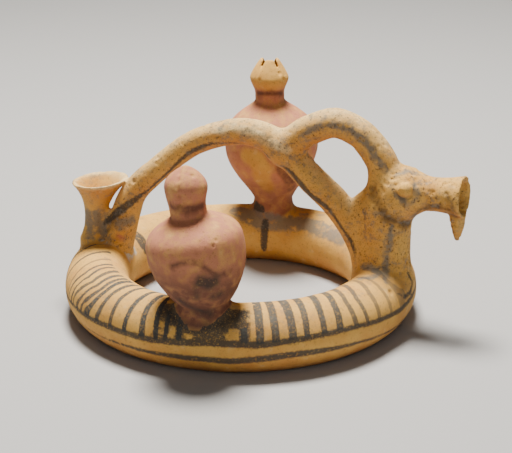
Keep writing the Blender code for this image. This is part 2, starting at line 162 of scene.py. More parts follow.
def hashShare(ix, iy, iz, seed):
    # A repeatable share from 0 to 1 for each whole-numbered place
    n = (ix * 73856093) ^ (iy * 19349663) ^ (iz * 83492791) ^ (seed * 2654435)
    n = (n ^ (n >> 13)) & 0x7FFFFFFF
    n = (n * 60493 + 19990303) & 0x7FFFFFFF
    n = (n ^ (n >> 11)) & 0x7FFFFFFF
    n = (n * 15731 + 789221) & 0x7FFFFFFF
    return ((n >> 7) & 0xFFFF) / 65535.0


def lumps(points, size, seed):
    # Smooth noise from -1 to 1: shares at the corners of cells of the given size, eased between
    place = points / size + 1000.0
    cell = np.floor(place).astype(np.int64)
    inCell = smoothStep(place - cell)
    total = np.zeros(len(points))
    for dx in (0, 1):
        wx = inCell[:, 0] if dx else 1.0 - inCell[:, 0]
        for dy in (0, 1):
            wy = inCell[:, 1] if dy else 1.0 - inCell[:, 1]
            for dz in (0, 1):
                wz = inCell[:, 2] if dz else 1.0 - inCell[:, 2]
                share = hashShare(cell[:, 0] + dx, cell[:, 1] + dy, cell[:, 2] + dz, seed)
                total += wx * wy * wz * share
    return total * 2.0 - 1.0


def profileTable(profile, step=0.35, margin=7.0):
    # Signed distance in the half plane (radius, height) to a profile that runs from the axis, round the
    # outside and back to the axis. Inside is negative. The axis itself is no wall.
    line = np.asarray(profile, float)
    start, end = line[:-1], line[1:]
    low = np.array([0.0, line[:, 1].min() - margin])
    high = line.max(0) + margin
    count = np.ceil((high - low) / step).astype(int) + 1
    r, z = np.meshgrid(low[0] + step * np.arange(count[0]), low[1] + step * np.arange(count[1]), indexing="ij")
    nearest = np.full(r.shape, 1e9)
    crossings = np.zeros(r.shape, int)
    for (r0, z0), (r1, z1) in zip(start, end):
        dr, dz = r1 - r0, z1 - z0
        share = np.clip(((r - r0) * dr + (z - z0) * dz) / max(dr * dr + dz * dz, 1e-9), 0.0, 1.0)
        nearest = np.minimum(nearest, np.hypot(r - r0 - share * dr, z - z0 - share * dz))
        if z0 != z1:
            spans = (z >= min(z0, z1)) & (z < max(z0, z1))
            crossings += spans & (r0 + (z - z0) / dz * dr > r)
    return low, step, np.where(crossings % 2 == 1, -nearest, nearest)


def turnedDistance(table, radius, height):
    # Two-way interpolation in the table; beyond its edge the way to the edge is added.
    low, step, values = table
    a = (radius - low[0]) / step
    b = (height - low[1]) / step
    ca = np.clip(a, 0.0, values.shape[0] - 1.001)
    cb = np.clip(b, 0.0, values.shape[1] - 1.001)
    i, j = ca.astype(int), cb.astype(int)
    u, v = ca - i, cb - j
    lower = values[i, j] * (1 - u) + values[i + 1, j] * u
    upper = values[i, j + 1] * (1 - u) + values[i + 1, j + 1] * u
    return lower * (1 - v) + upper * v + step * np.hypot(a - ca, b - cb)


def smoothPath(knots, perSpan=6):
    # Catmull-Rom through rows of (x, y, z, radius)
    k = np.asarray(knots, float)
    k = np.vstack([2 * k[0] - k[1], k, 2 * k[-1] - k[-2]])
    t = np.linspace(0.0, 1.0, perSpan, endpoint=False)[:, None]
    rows = []
    for i in range(1, len(k) - 2):
        a, b, c, d = k[i - 1], k[i], k[i + 1], k[i + 2]
        rows.append(0.5 * (2 * b + (c - a) * t + (2 * a - 5 * b + 4 * c - d) * t ** 2
                           + (3 * b - a - 3 * c + d) * t ** 3))
    rows.append(k[-2][None, :])
    return np.vstack(rows)


def rodDistance(points, path):
    # Distance to a round rod: the least, over its short straight stretches, of distance less radius
    nearest = np.full(len(points), 1e9)
    for a, b in zip(path[:-1], path[1:]):
        along = b[:3] - a[:3]
        share = np.clip((points - a[:3]) @ along / max(along @ along, 1e-9), 0.0, 1.0)
        away = points - a[:3] - share[:, None] * along
        nearest = np.minimum(nearest, np.sqrt((away ** 2).sum(1)) - mix(a[3], b[3], share))
    return nearest


def ballDistance(points, middle, halfSizes):
    # Near enough the distance to an ellipsoid: (k - 1) k / |gradient| of its own scaled radius k
    away = (points - np.asarray(middle)) / np.asarray(halfSizes)
    k = np.sqrt((away ** 2).sum(1))
    slope = np.sqrt(((away / np.asarray(halfSizes)) ** 2).sum(1))
    return k * (k - 1.0) / np.maximum(slope, 1e-6)


# The forms of the vessel
ring = {"radius": 81.5, "tube": 18.0, "flat": 1.2, "backThinner": 1.0, "wall": 4.5}
ringTop = 2 * ring["tube"] - ring["flat"]
tubeHeight = ring["tube"] - ring["flat"]


def ringDistance(p):
    # A tube round a circle: its radius is a little less at the back, and its foot is pressed flat.
    across = np.hypot(p[:, 0], p[:, 1])
    toBack = smoothStep((p[:, 1] / np.maximum(across, 1e-6) + 0.2) / 1.1)
    thinner = ring["backThinner"] * toBack
    away = np.hypot(across - ring["radius"], p[:, 2] - tubeHeight + thinner)
    return away - ring["tube"] + thinner


funnel = {
    "place": -86.7, "height": 35.2, "rim": 16.2, "stem": 6.3, "wall": 2.6,
    "lean": 4.0, "tilt": 5.0, "stemShare": 0.30, "flare": 2.3, "spread": 2.8,
}


def funnelRadius(share):
    # Foot to rim: the stem narrows by a square, then the cup opens from stem to rim by a power.
    low = funnel["stem"] + funnel["spread"] * (1.0 - share / funnel["stemShare"]) ** 2
    opening = np.clip((share - funnel["stemShare"]) / (1.0 - funnel["stemShare"]), 0.0, 1.0)
    high = mix(funnel["stem"], funnel["rim"], opening ** funnel["flare"])
    return np.where(share < funnel["stemShare"], low, high)


def funnelTables():
    # The outside carries the radius down into the ring, and the inside is that radius less the wall.
    share = np.linspace(1.0, 0.0, 40)
    radius = funnelRadius(share)
    height = ringTop + funnel["height"] * share
    top = ringTop + funnel["height"]
    outside = [(0.0, top)] + list(zip(radius, height)) + [(radius[-1], ringTop - 8.0), (0.0, ringTop - 8.0)]
    deep = share > 0.2
    inner = radius[deep] - funnel["wall"]
    inside = [(0.0, top + 6.0), (inner[0] + 0.2, top + 6.0)] + list(zip(inner, height[deep]))
    inside += [(funnel["stem"] - funnel["wall"], tubeHeight), (0.0, tubeHeight)]
    return profileTable(outside), profileTable(inside)


funnelOutside, funnelInside = funnelTables()


def funnelPlace(p):
    # Undoes the lean and the tilt of the rim
    share = np.maximum((p[:, 2] - ringTop) / funnel["height"], 0.0)
    x = p[:, 0] - funnel["place"] - funnel["lean"] * share ** 2
    z = p[:, 2] - math.tan(math.radians(funnel["tilt"])) * x * np.minimum(share, 1.2) ** 4
    return np.hypot(x, p[:, 1]), z


fruitFront = {
    "place": (0.0, -81.5), "height": 74.7, "lean": 8.3,
    "foot": 13.6, "belly": 25.3, "waist": 9.4, "calyx": 11.1,
    "levels": {"foot": 0.030, "belly": 0.400, "collar": 0.648, "waist": 0.708, "calyx": 0.849},
    "lowRound": 0.78, "shoulder": 3.5, "hollow": 1.3, "wall": 4.5,
}
fruitBack = {
    "place": (0.0, 81.5), "height": 91.0, "lean": 2.6,
    "foot": 11.6, "belly": 28.1, "waist": 8.7, "calyx": 11.6,
    "levels": {"foot": 0.048, "belly": 0.422, "collar": 0.724, "waist": 0.768, "calyx": 0.877},
    "lowRound": 1.2, "shoulder": 3.0, "hollow": 1.5, "tip": 5.3, "calyxWall": 3.0, "wall": 4.5,
}
leanEnd = 0.88      # the lean is complete at this share of a fruit's height


def fruitBody(fruit):
    # (radius, share of the height) from the collar to the foot: a domed shoulder, then a sine down to the foot
    level = fruit["levels"]
    t = np.linspace(1.0, 0.0, 20)
    dome = (1.0 - t ** fruit["shoulder"]) ** fruit["hollow"]
    upper = np.stack([mix(fruit["waist"], fruit["belly"], dome), mix(level["belly"], level["collar"], t)], 1)
    swell = np.sin(math.pi / 2 * t[1:]) ** fruit["lowRound"]
    lower = np.stack([mix(fruit["foot"], fruit["belly"], swell), mix(level["foot"], level["belly"], t[1:])], 1)
    return np.vstack([upper, lower])


def fruitNeck(fruit):
    # From the calyx's widest part in to the waist
    level = fruit["levels"]
    t = np.linspace(1.0, 0.0, 10)
    radius = mix(fruit["waist"], fruit["calyx"], smoothStep(t))
    return np.stack([radius, mix(level["waist"], level["calyx"], t)], 1)


def fruitBud(fruit):
    # A closed bud, round at its sides and blunt at its top: radius = calyx (1 - t^1.9)^0.92
    t = np.linspace(1.0, 0.0, 14)
    radius = fruit["calyx"] * (1.0 - t ** 1.9) ** 0.92
    return np.stack([radius, mix(fruit["levels"]["calyx"], 1.0, t)], 1)[:-1]


def fruitCrown(fruit):
    # Sepals that lean together: the radius goes from calyx to tip by t^1.25.
    t = np.linspace(1.0, 0.0, 12)
    radius = mix(fruit["calyx"], fruit["tip"], t ** 1.25)
    return np.stack([radius, mix(fruit["levels"]["calyx"], 1.0, t)], 1)[:-1]


def toHeights(rows, fruit):
    # Shares of the height become heights over the table.
    return [(r, ringTop + fruit["height"] * share) for r, share in rows]


def frontTables():
    # Bud, neck and body outside; inside, the body less its wall, closed above and open to the ring's bore
    rows = np.vstack([fruitBud(fruitFront), fruitNeck(fruitFront), fruitBody(fruitFront)])
    low = ringTop - 9.0
    outside = toHeights(rows, fruitFront) + [(fruitFront["foot"] + 1.5, low), (0.0, low)]
    wall = fruitFront["wall"]
    body = fruitBody(fruitFront)
    belly = body[body[:, 0] > wall * 2.6] - np.array([wall, 0.0])
    top = belly[0, 1] + wall / fruitFront["height"] * 0.3
    inside = toHeights([(0.0, top)] + belly.tolist(), fruitFront)
    inside += [(fruitFront["foot"] - wall, tubeHeight), (0.0, tubeHeight)]
    return profileTable(outside), profileTable(inside)


def backTables():
    # Crown, neck and body outside; inside, the same less a wall that thins toward the tips, open at both ends
    crown = fruitCrown(fruitBack)
    neck = fruitNeck(fruitBack)
    body = fruitBody(fruitBack)
    rows = np.vstack([crown, neck, body])
    low = ringTop - 9.0
    outside = [(0.0, ringTop + fruitBack["height"])] + toHeights(rows, fruitBack)
    outside += [(fruitBack["foot"] + 1.5, low), (0.0, low)]
    cup = np.vstack([crown, neck])
    cup[:, 0] -= fruitBack["calyxWall"] * np.linspace(0.62, 1.0, len(cup))
    cup[:, 0] = np.maximum(cup[:, 0], 2.6)
    over = ringTop + fruitBack["height"] + 5.0
    inside = [(0.0, over), (fruitBack["tip"] - 1.2, over)]
    belly = body - np.array([fruitBack["wall"], 0.0])
    inside += toHeights(cup[:-3], fruitBack) + toHeights(belly[1:], fruitBack)
    inside += [(fruitBack["foot"] - fruitBack["wall"], tubeHeight), (0.0, tubeHeight)]
    return profileTable(outside), profileTable(inside)


frontOutside, frontInside = frontTables()
backOutside, backInside = backTables()


def fruitPlace(p, fruit):
    # Undoes the lean: the section through a point is square to an axis that leans toward -X.
    x = p[:, 0] - fruit["place"][0]
    z = p[:, 2].copy()
    for _ in range(3):
        t = np.clip((z - ringTop) / fruit["height"] / leanEnd, 0.0, 1.0)
        slope = fruit["lean"] * 6.0 * t * (1.0 - t) / (leanEnd * fruit["height"])
        across = x + fruit["lean"] * smoothStep(t)
        z = p[:, 2] - slope * across
    radius = np.hypot(across * np.sqrt(1.0 + slope ** 2), p[:, 1] - fruit["place"][1])
    return radius, z


sepals = {
    "depth": 9.8,
    "gaps": ((-119.0, 1.7), (-35.0, 1.7), (103.0, 7.5)),      # direction in degrees, width at the tips
}


def gapDistance(p):
    # A wedge from the crown's middle outward: its half width grows from nothing at the bottom to the tips.
    top = ringTop + fruitBack["height"]
    x, y = p[:, 0] + fruitBack["lean"], p[:, 1] - fruitBack["place"][1]
    nearest = np.full(len(p), 1e9)
    for turn, width in sepals["gaps"]:
        c, s = math.cos(math.radians(turn)), math.sin(math.radians(turn))
        along, side = x * c + y * s, np.abs(-x * s + y * c)
        half = width / 2 * np.clip((p[:, 2] - top + sepals["depth"]) / sepals["depth"], -0.6, 1.3)
        nearest = np.minimum(nearest, np.maximum(side - half, -along - 0.5))
    return nearest


arch = {
    "rod": 7.3, "rise": 69.0, "footInward": 8.0,
    "knots": (                            # share of the span, share of the rise, thickness
        (0.000, -0.060, 1.25), (0.040, 0.250, 1.12), (0.085, 0.450, 1.00), (0.186, 0.660, 0.96),
        (0.320, 0.883, 0.96), (0.488, 1.000, 1.00), (0.630, 0.935, 1.06), (0.780, 0.635, 1.10),
        (0.865, 0.465, 1.10), (0.930, 0.280, 1.12), (0.975, 0.100, 1.15), (1.000, -0.060, 1.20),
    ),
}


def archKnots():
    # The basket handle's knots as (x, y, z, radius), from the funnel's foot to the neck's foot
    span = 2 * (ring["radius"] - arch["footInward"])
    return [(span * (s - 0.5), 0.0, ringTop + arch["rise"] * r, arch["rod"] * w) for s, r, w in arch["knots"]]


archPath = smoothPath(archKnots())

head = {
    "middle": (87.5, 0.0, 76.6), "halfSizes": (14.0, 14.5, 13.8), "jaw": 0.84, "jawDrop": 0.42,
    "eye": 4.0, "eyeUp": 20.0, "eyeOut": 1.12, "eyeForward": 24.0,
    "muzzle": 38.0, "muzzleRadius": 9.3, "lip": 11.5, "lipWall": 3.0, "turn": 11.0, "pitch": 2.0,
    "lug": 11.8, "lugRadius": 4.6,
}
loop = {
    "rod": 8.3, "rise": 29.3, "startShare": 0.66,
    "knots": (                            # share of the way to the head, share of the rise, thickness
        (0.000, 0.00, 1.06), (0.133, 0.32, 1.03), (0.288, 0.66, 1.00), (0.520, 0.99, 0.98), (0.751, 1.00, 0.98),
        (0.854, 0.90, 1.00), (0.932, 0.77, 1.02), (0.990, 0.60, 1.04), (1.010, 0.30, 1.08), (1.000, 0.00, 1.10),
    ),
}


def loopKnots():
    # From a place on the basket handle to the back of the head, raised by each knot's share of the rise
    knots = np.array(arch["knots"])
    span = 2 * (ring["radius"] - arch["footInward"])
    rise = np.interp(loop["startShare"], knots[:, 0], knots[:, 1])
    start = np.array([span * (loop["startShare"] - 0.5), 0.0, ringTop + arch["rise"] * rise])
    middle, half = np.array(head["middle"]), head["halfSizes"]
    end = middle + np.array([-0.55 * half[0], 0.0, -0.3 * half[2]])
    rows = []
    for share, rise, width in loop["knots"]:
        spot = mix(start, end, share) + np.array([0.0, 0.0, loop["rise"] * rise])
        rows.append((*spot, loop["rod"] * width))
    return rows


loopPath = smoothPath(loopKnots())
neck = {"radius": 14.4, "wall": 4.5, "place": 81.5}


def neckTables():
    # Outside, a quarter circle stretched over a straight column; inside, a bore that narrows toward the muzzle
    shoulder = head["middle"][2] - head["halfSizes"][2] * 0.75
    a = np.linspace(0.0, math.pi / 2, 12)
    dome = np.stack([neck["radius"] * np.sin(a), shoulder + head["halfSizes"][2] * np.cos(a)], 1)
    low = ringTop - 10.0
    spread = neck["radius"] + 1.5
    outside = [tuple(row) for row in dome] + [(neck["radius"], ringTop + 4.5), (spread, low), (0.0, low)]
    bore, narrow = neck["radius"] - neck["wall"], head["muzzleRadius"] - head["lipWall"]
    middle, half = head["middle"][2], head["halfSizes"][2]
    top = middle + narrow * 0.7
    inside = [(0.0, top), (narrow * 0.9, top), (narrow, middle - narrow * 0.5), (bore, middle - half),
              (bore, tubeHeight), (0.0, tubeHeight)]
    return profileTable(outside), profileTable(inside)


neckOutside, neckInside = neckTables()


def muzzleFrame():
    # Unit vectors forward along the muzzle, to its left and up
    turn, pitch = math.radians(head["turn"]), math.radians(head["pitch"])
    forward = np.array([math.cos(turn) * math.cos(pitch), -math.sin(turn) * math.cos(pitch), math.sin(pitch)])
    side = np.array([math.sin(turn), math.cos(turn), 0.0])
    return forward, side, np.cross(forward, side)


muzzleForward, muzzleSide, muzzleUp = muzzleFrame()


def muzzleTables():
    # Smooth curves through (radius, share of the length), from the lip back into the head
    r, lip, high = head["muzzleRadius"], head["lip"], head["halfSizes"][2]
    length = head["muzzle"]
    rows = [(lip, 1.0), (mix(r, lip, 0.62), 0.90), (mix(r, lip, 0.20), 0.78), (r, 0.62), (r * 1.03, 0.46),
            (mix(r, high, 0.35), 0.34), (mix(r, high, 0.62), 0.20), (mix(r, high, 0.50), 0.0)]
    path = smoothPath([(a, b * length, 0.0, 0.0) for a, b in rows])[:, :2]
    outside = [(0.0, length)] + [tuple(row) for row in path] + [(0.0, 0.0)]
    wall = head["lipWall"]
    rows = [(lip - wall * 0.45, 1.12), (lip - wall * 0.7, 1.0), (r - wall * 0.8, 0.85), (r - wall, 0.62),
            (r - wall, 0.0)]
    path = smoothPath([(a, b * length, 0.0, 0.0) for a, b in rows])[:, :2]
    inside = [(0.0, path[0][1])] + [tuple(row) for row in path] + [(0.0, path[-1][1])]
    return profileTable(outside), profileTable(inside)


muzzleOutside, muzzleInside = muzzleTables()


def muzzlePlace(p):
    # Distance from the muzzle's axis, and the way along it
    away = p - np.array(head["middle"])
    return np.hypot(away @ muzzleSide, away @ muzzleUp), away @ muzzleForward


def eyePlaces():
    # A boss on each cheek: middle of the head plus its half sizes along a direction up and forward
    half = head["halfSizes"]
    up, forward = math.radians(head["eyeUp"]), math.radians(head["eyeForward"])
    rows = []
    for side in (-1.0, 1.0):
        toward = (math.sin(forward) * math.cos(up), side * math.cos(forward) * math.cos(up), math.sin(up))
        rows.append(np.array(head["middle"]) + np.array(toward) * np.array(half) * head["eyeOut"])
    return rows


def lugPath():
    # The lug hangs straight down from under the lip and tapers to its tip.
    toLip = muzzleForward * (head["muzzle"] - head["lugRadius"] * 0.75) - muzzleUp * head["lip"]
    lip = np.array(head["middle"]) + toLip
    top = lip + np.array([-0.46, 0.0, head["lug"] * 0.25])
    tip = lip - np.array([0.0, 0.0, head["lug"]])
    r = head["lugRadius"]
    return smoothPath([(*top, r), (*mix(top, tip, 0.45), r * 0.85), (*tip, r * 0.36)])


eyes = eyePlaces()
lug = lugPath()
meltReach = {                           # mm over which each form melts into the rest
    "funnel": 1.2, "fruit": 4.0, "arch": 4.0, "loop": 4.0, "neck": 6.0, "head": 5.0, "eye": 0.8, "lug": 1.6,
    "web": 2.5, "jaw": 4.0, "bore": 1.0, "slit": 0.6, "foot": 0.8,
}


def near(p, low, high):
    # The rows of the points that lie in a box
    return np.nonzero(((p > np.array(low)) & (p < np.array(high))).all(1))[0]


def joinForm(total, p, low, high, form, reach):
    # In the form's own box: the smooth least of what is there and the form
    rows = near(p, low, high)
    total[rows] = meltTogether(total[rows], form(p[rows]), reach)


def funnelDistance(p):
    return turnedDistance(funnelOutside, *funnelPlace(p))


def frontDistance(p):
    return turnedDistance(frontOutside, *fruitPlace(p, fruitFront))


def backDistance(p):
    return turnedDistance(backOutside, *fruitPlace(p, fruitBack))


def archDistance(p):
    return rodDistance(p, archPath)


def loopDistance(p):
    return rodDistance(p, loopPath)


def neckPlace(p):
    return np.hypot(p[:, 0] - neck["place"], p[:, 1]), p[:, 2]


def headDistance(p):
    # Skull and jaw, the neck under them and the muzzle's tube, melted together
    half = np.array(head["halfSizes"])
    middle = np.array(head["middle"])
    skull = ballDistance(p, middle, half)
    jaw = ballDistance(p, middle - np.array([0.0, 0.0, half[2] * head["jawDrop"]]), half * head["jaw"])
    column = turnedDistance(neckOutside, *neckPlace(p))
    muzzle = turnedDistance(muzzleOutside, *muzzlePlace(p))
    whole = meltTogether(meltTogether(skull, jaw, meltReach["jaw"]), column, meltReach["head"])
    return meltTogether(whole, muzzle, meltReach["head"])


cornerFill = {"from": 63.2, "drop": 1.25, "across": 0.62, "thick": 1.15, "tall": 1.15}


def fillDistance(p):
    # The clay in the corner behind the neck: a ball between the handle's foot and the neck's axis
    high, wide = head["halfSizes"][2], neck["place"] - cornerFill["from"]
    middle = ((cornerFill["from"] + neck["place"]) / 2, 0.0, head["middle"][2] - high * cornerFill["drop"])
    sizes = (wide * cornerFill["across"], arch["rod"] * cornerFill["thick"], high * cornerFill["tall"])
    return ballDistance(p, middle, sizes)


web = {"middle": (-78.2, -0.5, 40.0), "halfSizes": (3.4, 4.2, 13.0)}


def webDistance(p):
    # The clay that closes the notch between the funnel's stem and the basket handle's foot
    return ballDistance(p, web["middle"], web["halfSizes"])


# Two corners of the box that holds each form, its distance, and how far it melts into the rest
outsideForms = (
    ((-100, -22, 15), (95, 22, 125), archDistance, meltReach["arch"]),
    ((-115, -30, 15), (-55, 30, 85), funnelDistance, meltReach["funnel"]),
    ((-50, -120, 15), (45, -40, 125), frontDistance, meltReach["fruit"]),
    ((-45, 40, 15), (45, 125, 140), backDistance, meltReach["fruit"]),
    ((-95, -16, 20), (-60, 16, 68), webDistance, meltReach["web"]),
    ((50, -32, 10), (140, 32, 105), headDistance, meltReach["neck"]),
    ((45, -22, 30), (100, 22, 95), fillDistance, meltReach["loop"]),
    ((5, -24, 55), (115, 24, 135), loopDistance, meltReach["loop"]),
)
bore = meltReach["bore"]
hollowForms = (
    ((-115, -30, 8), (-55, 30, 90), lambda p: turnedDistance(funnelInside, *funnelPlace(p)), bore),
    ((-50, -120, 8), (45, -40, 125), lambda p: turnedDistance(frontInside, *fruitPlace(p, fruitFront)), bore),
    ((-45, 40, 8), (45, 125, 145), lambda p: turnedDistance(backInside, *fruitPlace(p, fruitBack)), bore),
    ((-35, 50, 90), (35, 115, 145), gapDistance, meltReach["slit"]),
    ((50, -32, 8), (115, 32, 105), lambda p: turnedDistance(neckInside, *neckPlace(p)), bore),
    ((75, -35, 50), (145, 30, 105), lambda p: turnedDistance(muzzleInside, *muzzlePlace(p)), bore),
)


def solidDistance(p):
    # The outside of the whole vessel: near enough the signed distance in mm, negative in the clay
    total = ringDistance(p)
    for low, high, form, reach in outsideForms:
        joinForm(total, p, low, high, form, reach)
    for eye in eyes:
        around = head["eye"] + 5.0
        joinForm(total, p, eye - around, eye + around, lambda q: np.linalg.norm(q - eye, axis=1) - head["eye"],
                 meltReach["eye"])
    joinForm(total, p, lug[:, :3].min(0) - 12.0, lug[:, :3].max(0) + 12.0, lambda q: rodDistance(q, lug),
             meltReach["lug"])
    return total


def hollowDistance(p):
    # What is empty: the ring's bore, the funnel, the bellies of the fruits, the crown with its slits, the
    # neck's bore and the muzzle's bore. Each is the distance to its own inner profile; the least of them counts.
    across = np.hypot(p[:, 0], p[:, 1]) - ring["radius"]
    total = np.hypot(across, p[:, 2] - tubeHeight) - ring["tube"] + ring["wall"]
    for low, high, form, reach in hollowForms:
        joinForm(total, p, low, high, form, reach)
    return total


def vesselDistance(p):
    # The outside less the hollow, and less all that lies under the table's plane
    clay = cutAway(solidDistance(p), hollowDistance(p), bore)
    return cutAway(clay, p[:, 2], meltReach["foot"])


def surfaceGrid(field, low, high, step, coarse=4):
    # The field is read at every fourth point of a cubic grid, and at all of them only near the surface.
    low, high = np.asarray(low, float), np.asarray(high, float)
    count = np.ceil((high - low) / (step * coarse)).astype(int) * coarse + 1
    axes = [low[i] + step * np.arange(count[i]) for i in range(3)]
    rough = np.stack(np.meshgrid(*[a[::coarse] for a in axes], indexing="ij"), -1)
    values = field(rough.reshape(-1, 3)).reshape(rough.shape[:3])
    whole = np.repeat(np.repeat(np.repeat(values, coarse, 0), coarse, 1), coarse, 2)
    whole = whole[:count[0], :count[1], :count[2]].astype(np.float32)
    reach = step * coarse * 1.15
    close = np.zeros(np.array(values.shape) - 1, bool)
    for di in (0, 1):
        for dj in (0, 1):
            for dk in (0, 1):
                n = values.shape
                corner = values[di:n[0] - 1 + di, dj:n[1] - 1 + dj, dk:n[2] - 1 + dk]
                close |= np.abs(corner) < reach
    blocks = np.stack(np.nonzero(close), 1) * coarse
    inside = np.stack(np.meshgrid(*[np.arange(coarse + 1)] * 3, indexing="ij"), -1).reshape(-1, 3)
    places = (blocks[:, None, :] + inside[None, :, :]).reshape(-1, 3)
    keys = np.unique((places[:, 0] * count[1] + places[:, 1]) * count[2] + places[:, 2])
    i, rest = np.divmod(keys, count[1] * count[2])
    j, k = np.divmod(rest, count[2])
    whole[i, j, k] = field(np.stack([axes[0][i], axes[1][j], axes[2][k]], 1))
    return low, whole


cubeCorners = np.array([(c >> 2 & 1, c >> 1 & 1, c & 1) for c in range(8)])


def countParts(corners):
    # How many groups a cell's corners form when they are joined along its edges
    left, groups = set(corners), 0
    while left:
        groups += 1
        reached = {left.pop()}
        while reached:
            corner = reached.pop()
            beside = {corner ^ bit for bit in (1, 2, 4)} & left
            left -= beside
            reached |= beside
    return groups


def cornerBits(inside):
    # One number for each cell, with a bit for each of its corners that lies in the clay
    n = np.array(inside.shape) - 1
    bits = np.zeros(tuple(n), np.uint8)
    for c, (i, j, k) in enumerate(cubeCorners):
        bits |= np.left_shift(inside[i:n[0] + i, j:n[1] + j, k:n[2] + k].astype(np.uint8), np.uint8(c))
    return bits


def fillTouches(values, step):
    # A cell is unclear where its clay corners, or its empty ones, form two groups. Its empty corner nearest the
    # clay is filled, until no cell is unclear, so that no edge of the net has four faces.
    groups = [[c for c in range(8) if bits >> c & 1] for bits in range(256)]
    parts = np.array([countParts(group) for group in groups])
    unclear = np.maximum(parts, parts[::-1]) > 1
    filled = 0
    while True:
        cells = np.stack(np.nonzero(unclear[cornerBits(values < 0.0)]), 1)
        if len(cells) == 0:
            return filled
        corners = cells[:, None, :] + cubeCorners[None, :, :]
        read = values[corners[..., 0], corners[..., 1], corners[..., 2]]
        nearest = np.where(read < 0.0, np.inf, read).argmin(1)
        chosen = np.unique(corners[np.arange(len(cells)), nearest], axis=0)
        values[tuple(chosen.T)] = -0.05 * step
        filled += len(chosen)


def netOverGrid(low, values, step):
    # One point in each cell that the surface crosses, at the middle of its crossings, and one four-sided face
    # round each grid edge that changes sign
    inside = values < 0.0
    n = np.array(values.shape)
    corners = np.zeros(tuple(n - 1), np.uint8)
    for di in (0, 1):
        for dj in (0, 1):
            for dk in (0, 1):
                corners += inside[di:n[0] - 1 + di, dj:n[1] - 1 + dj, dk:n[2] - 1 + dk]
    active = np.nonzero((corners > 0) & (corners < 8))
    cells = np.stack(active, 1)
    number = np.full(tuple(n - 1), -1, np.int64)
    number[active] = np.arange(len(cells))
    total = np.zeros((len(cells), 3))
    count = np.zeros(len(cells))
    for axis in range(3):
        unit = np.eye(3, dtype=int)[axis]
        others = [a for a in range(3) if a != axis]
        for u in (0, 1):
            for v in (0, 1):
                start = np.zeros(3, int)
                start[others[0]], start[others[1]] = u, v
                a = cells + start
                b = a + unit
                va = values[a[:, 0], a[:, 1], a[:, 2]]
                vb = values[b[:, 0], b[:, 1], b[:, 2]]
                crosses = (va < 0.0) != (vb < 0.0)
                share = np.where(crosses, va / np.where(crosses, va - vb, 1.0), 0.0)
                total += np.where(crosses[:, None], start + unit * share[:, None], 0.0)
                count += crosses
    points = low + step * (cells + total / count[:, None])
    faces = []
    for axis in range(3):
        first, second = [slice(None)] * 3, [slice(None)] * 3
        first[axis], second[axis] = slice(0, -1), slice(1, None)
        a, b = inside[tuple(first)], inside[tuple(second)]
        u, v = (axis + 1) % 3, (axis + 2) % 3
        for outward in (True, False):
            edges = np.stack(np.nonzero((a & ~b) if outward else (~a & b)), 1)
            back = np.zeros((4, 3), int)
            back[0, u], back[0, v] = 1, 1
            back[1, v] = 1
            back[3, u] = 1
            quad = [number[tuple((edges - back[c]).T)] for c in range(4)]
            if not outward:
                quad = quad[::-1]
            faces.append(np.stack(quad, 1))
    return points, np.vstack(faces)


def slopes(field, p, gap=0.25):
    # The field and its slope from four reads round each point
    corners = np.array([[1, 1, 1], [1, -1, -1], [-1, 1, -1], [-1, -1, 1]], float)
    reads = [field(p + corner * gap) for corner in corners]
    slope = sum(read[:, None] * corner for read, corner in zip(reads, corners)) / (4.0 * gap)
    return sum(reads) / 4.0, slope


def pullToSurface(field, p):
    # One of Newton's steps along the slope
    value, slope = slopes(field, p)
    size = np.maximum((slope ** 2).sum(1), 0.05)
    return p - np.clip(value / size, -1.2, 1.2)[:, None] * slope


def evenOut(p, edges, normals, share):
    # Each point slides along the surface toward the middle of its neighbours.
    total = np.zeros_like(p)
    count = np.bincount(edges.reshape(-1), minlength=len(p)).astype(float)
    for axis in range(3):
        total[:, axis] = np.bincount(edges[:, 0], p[edges[:, 1], axis], len(p))
        total[:, axis] += np.bincount(edges[:, 1], p[edges[:, 0], axis], len(p))
    move = total / np.maximum(count, 1.0)[:, None] - p
    move -= (move * normals).sum(1)[:, None] * normals
    return p + share * move


meshSteps = {"step": 0.90, "triangles": 186000, "low": (-104, -112, -3), "high": (132, 115, 131)}      # mm


def readPoints(mesh):
    p = np.empty(len(mesh.vertices) * 3)
    mesh.vertices.foreach_get("co", p)
    return p.reshape(-1, 3)


def writePoints(mesh, p):
    mesh.vertices.foreach_set("co", np.ascontiguousarray(p, float).reshape(-1))
    mesh.update()


def readEdges(mesh):
    e = np.empty(len(mesh.edges) * 2, np.int64)
    mesh.edges.foreach_get("vertices", e)
    return e.reshape(-1, 2)


def towardNormals(p):
    slope = slopes(vesselDistance, p)[1]
    return slope / np.maximum(np.linalg.norm(slope, axis=1), 1e-6)[:, None]


def shareOf(first, others, soft=2.5):
    # 1 where the first distance is the least, 0 where another is, eased over a few millimetres
    return smoothStep(0.5 + (np.minimum.reduce(others) - first) / soft)


def readForms(p):
    # Which form each point of the clay belongs to; a form counts only in its own part of the vessel.
    far = 99.0
    x, y = p[:, 0], p[:, 1]
    forms = {
        "ring": ringDistance(p),
        "rods": np.minimum(archDistance(p), loopDistance(p)),
        "front": np.where(y < -50.0, frontDistance(p), far),
        "back": np.where(y > 45.0, backDistance(p), far),
        "funnel": np.where((x < -60.0) & (np.abs(y) < 25.0), funnelDistance(p), far),
        "neck": np.where(x > 60.0, headDistance(p), far),
    }
    return {name: shareOf(away, [forms[other] for other in forms if other != name])
            for name, away in forms.items()}


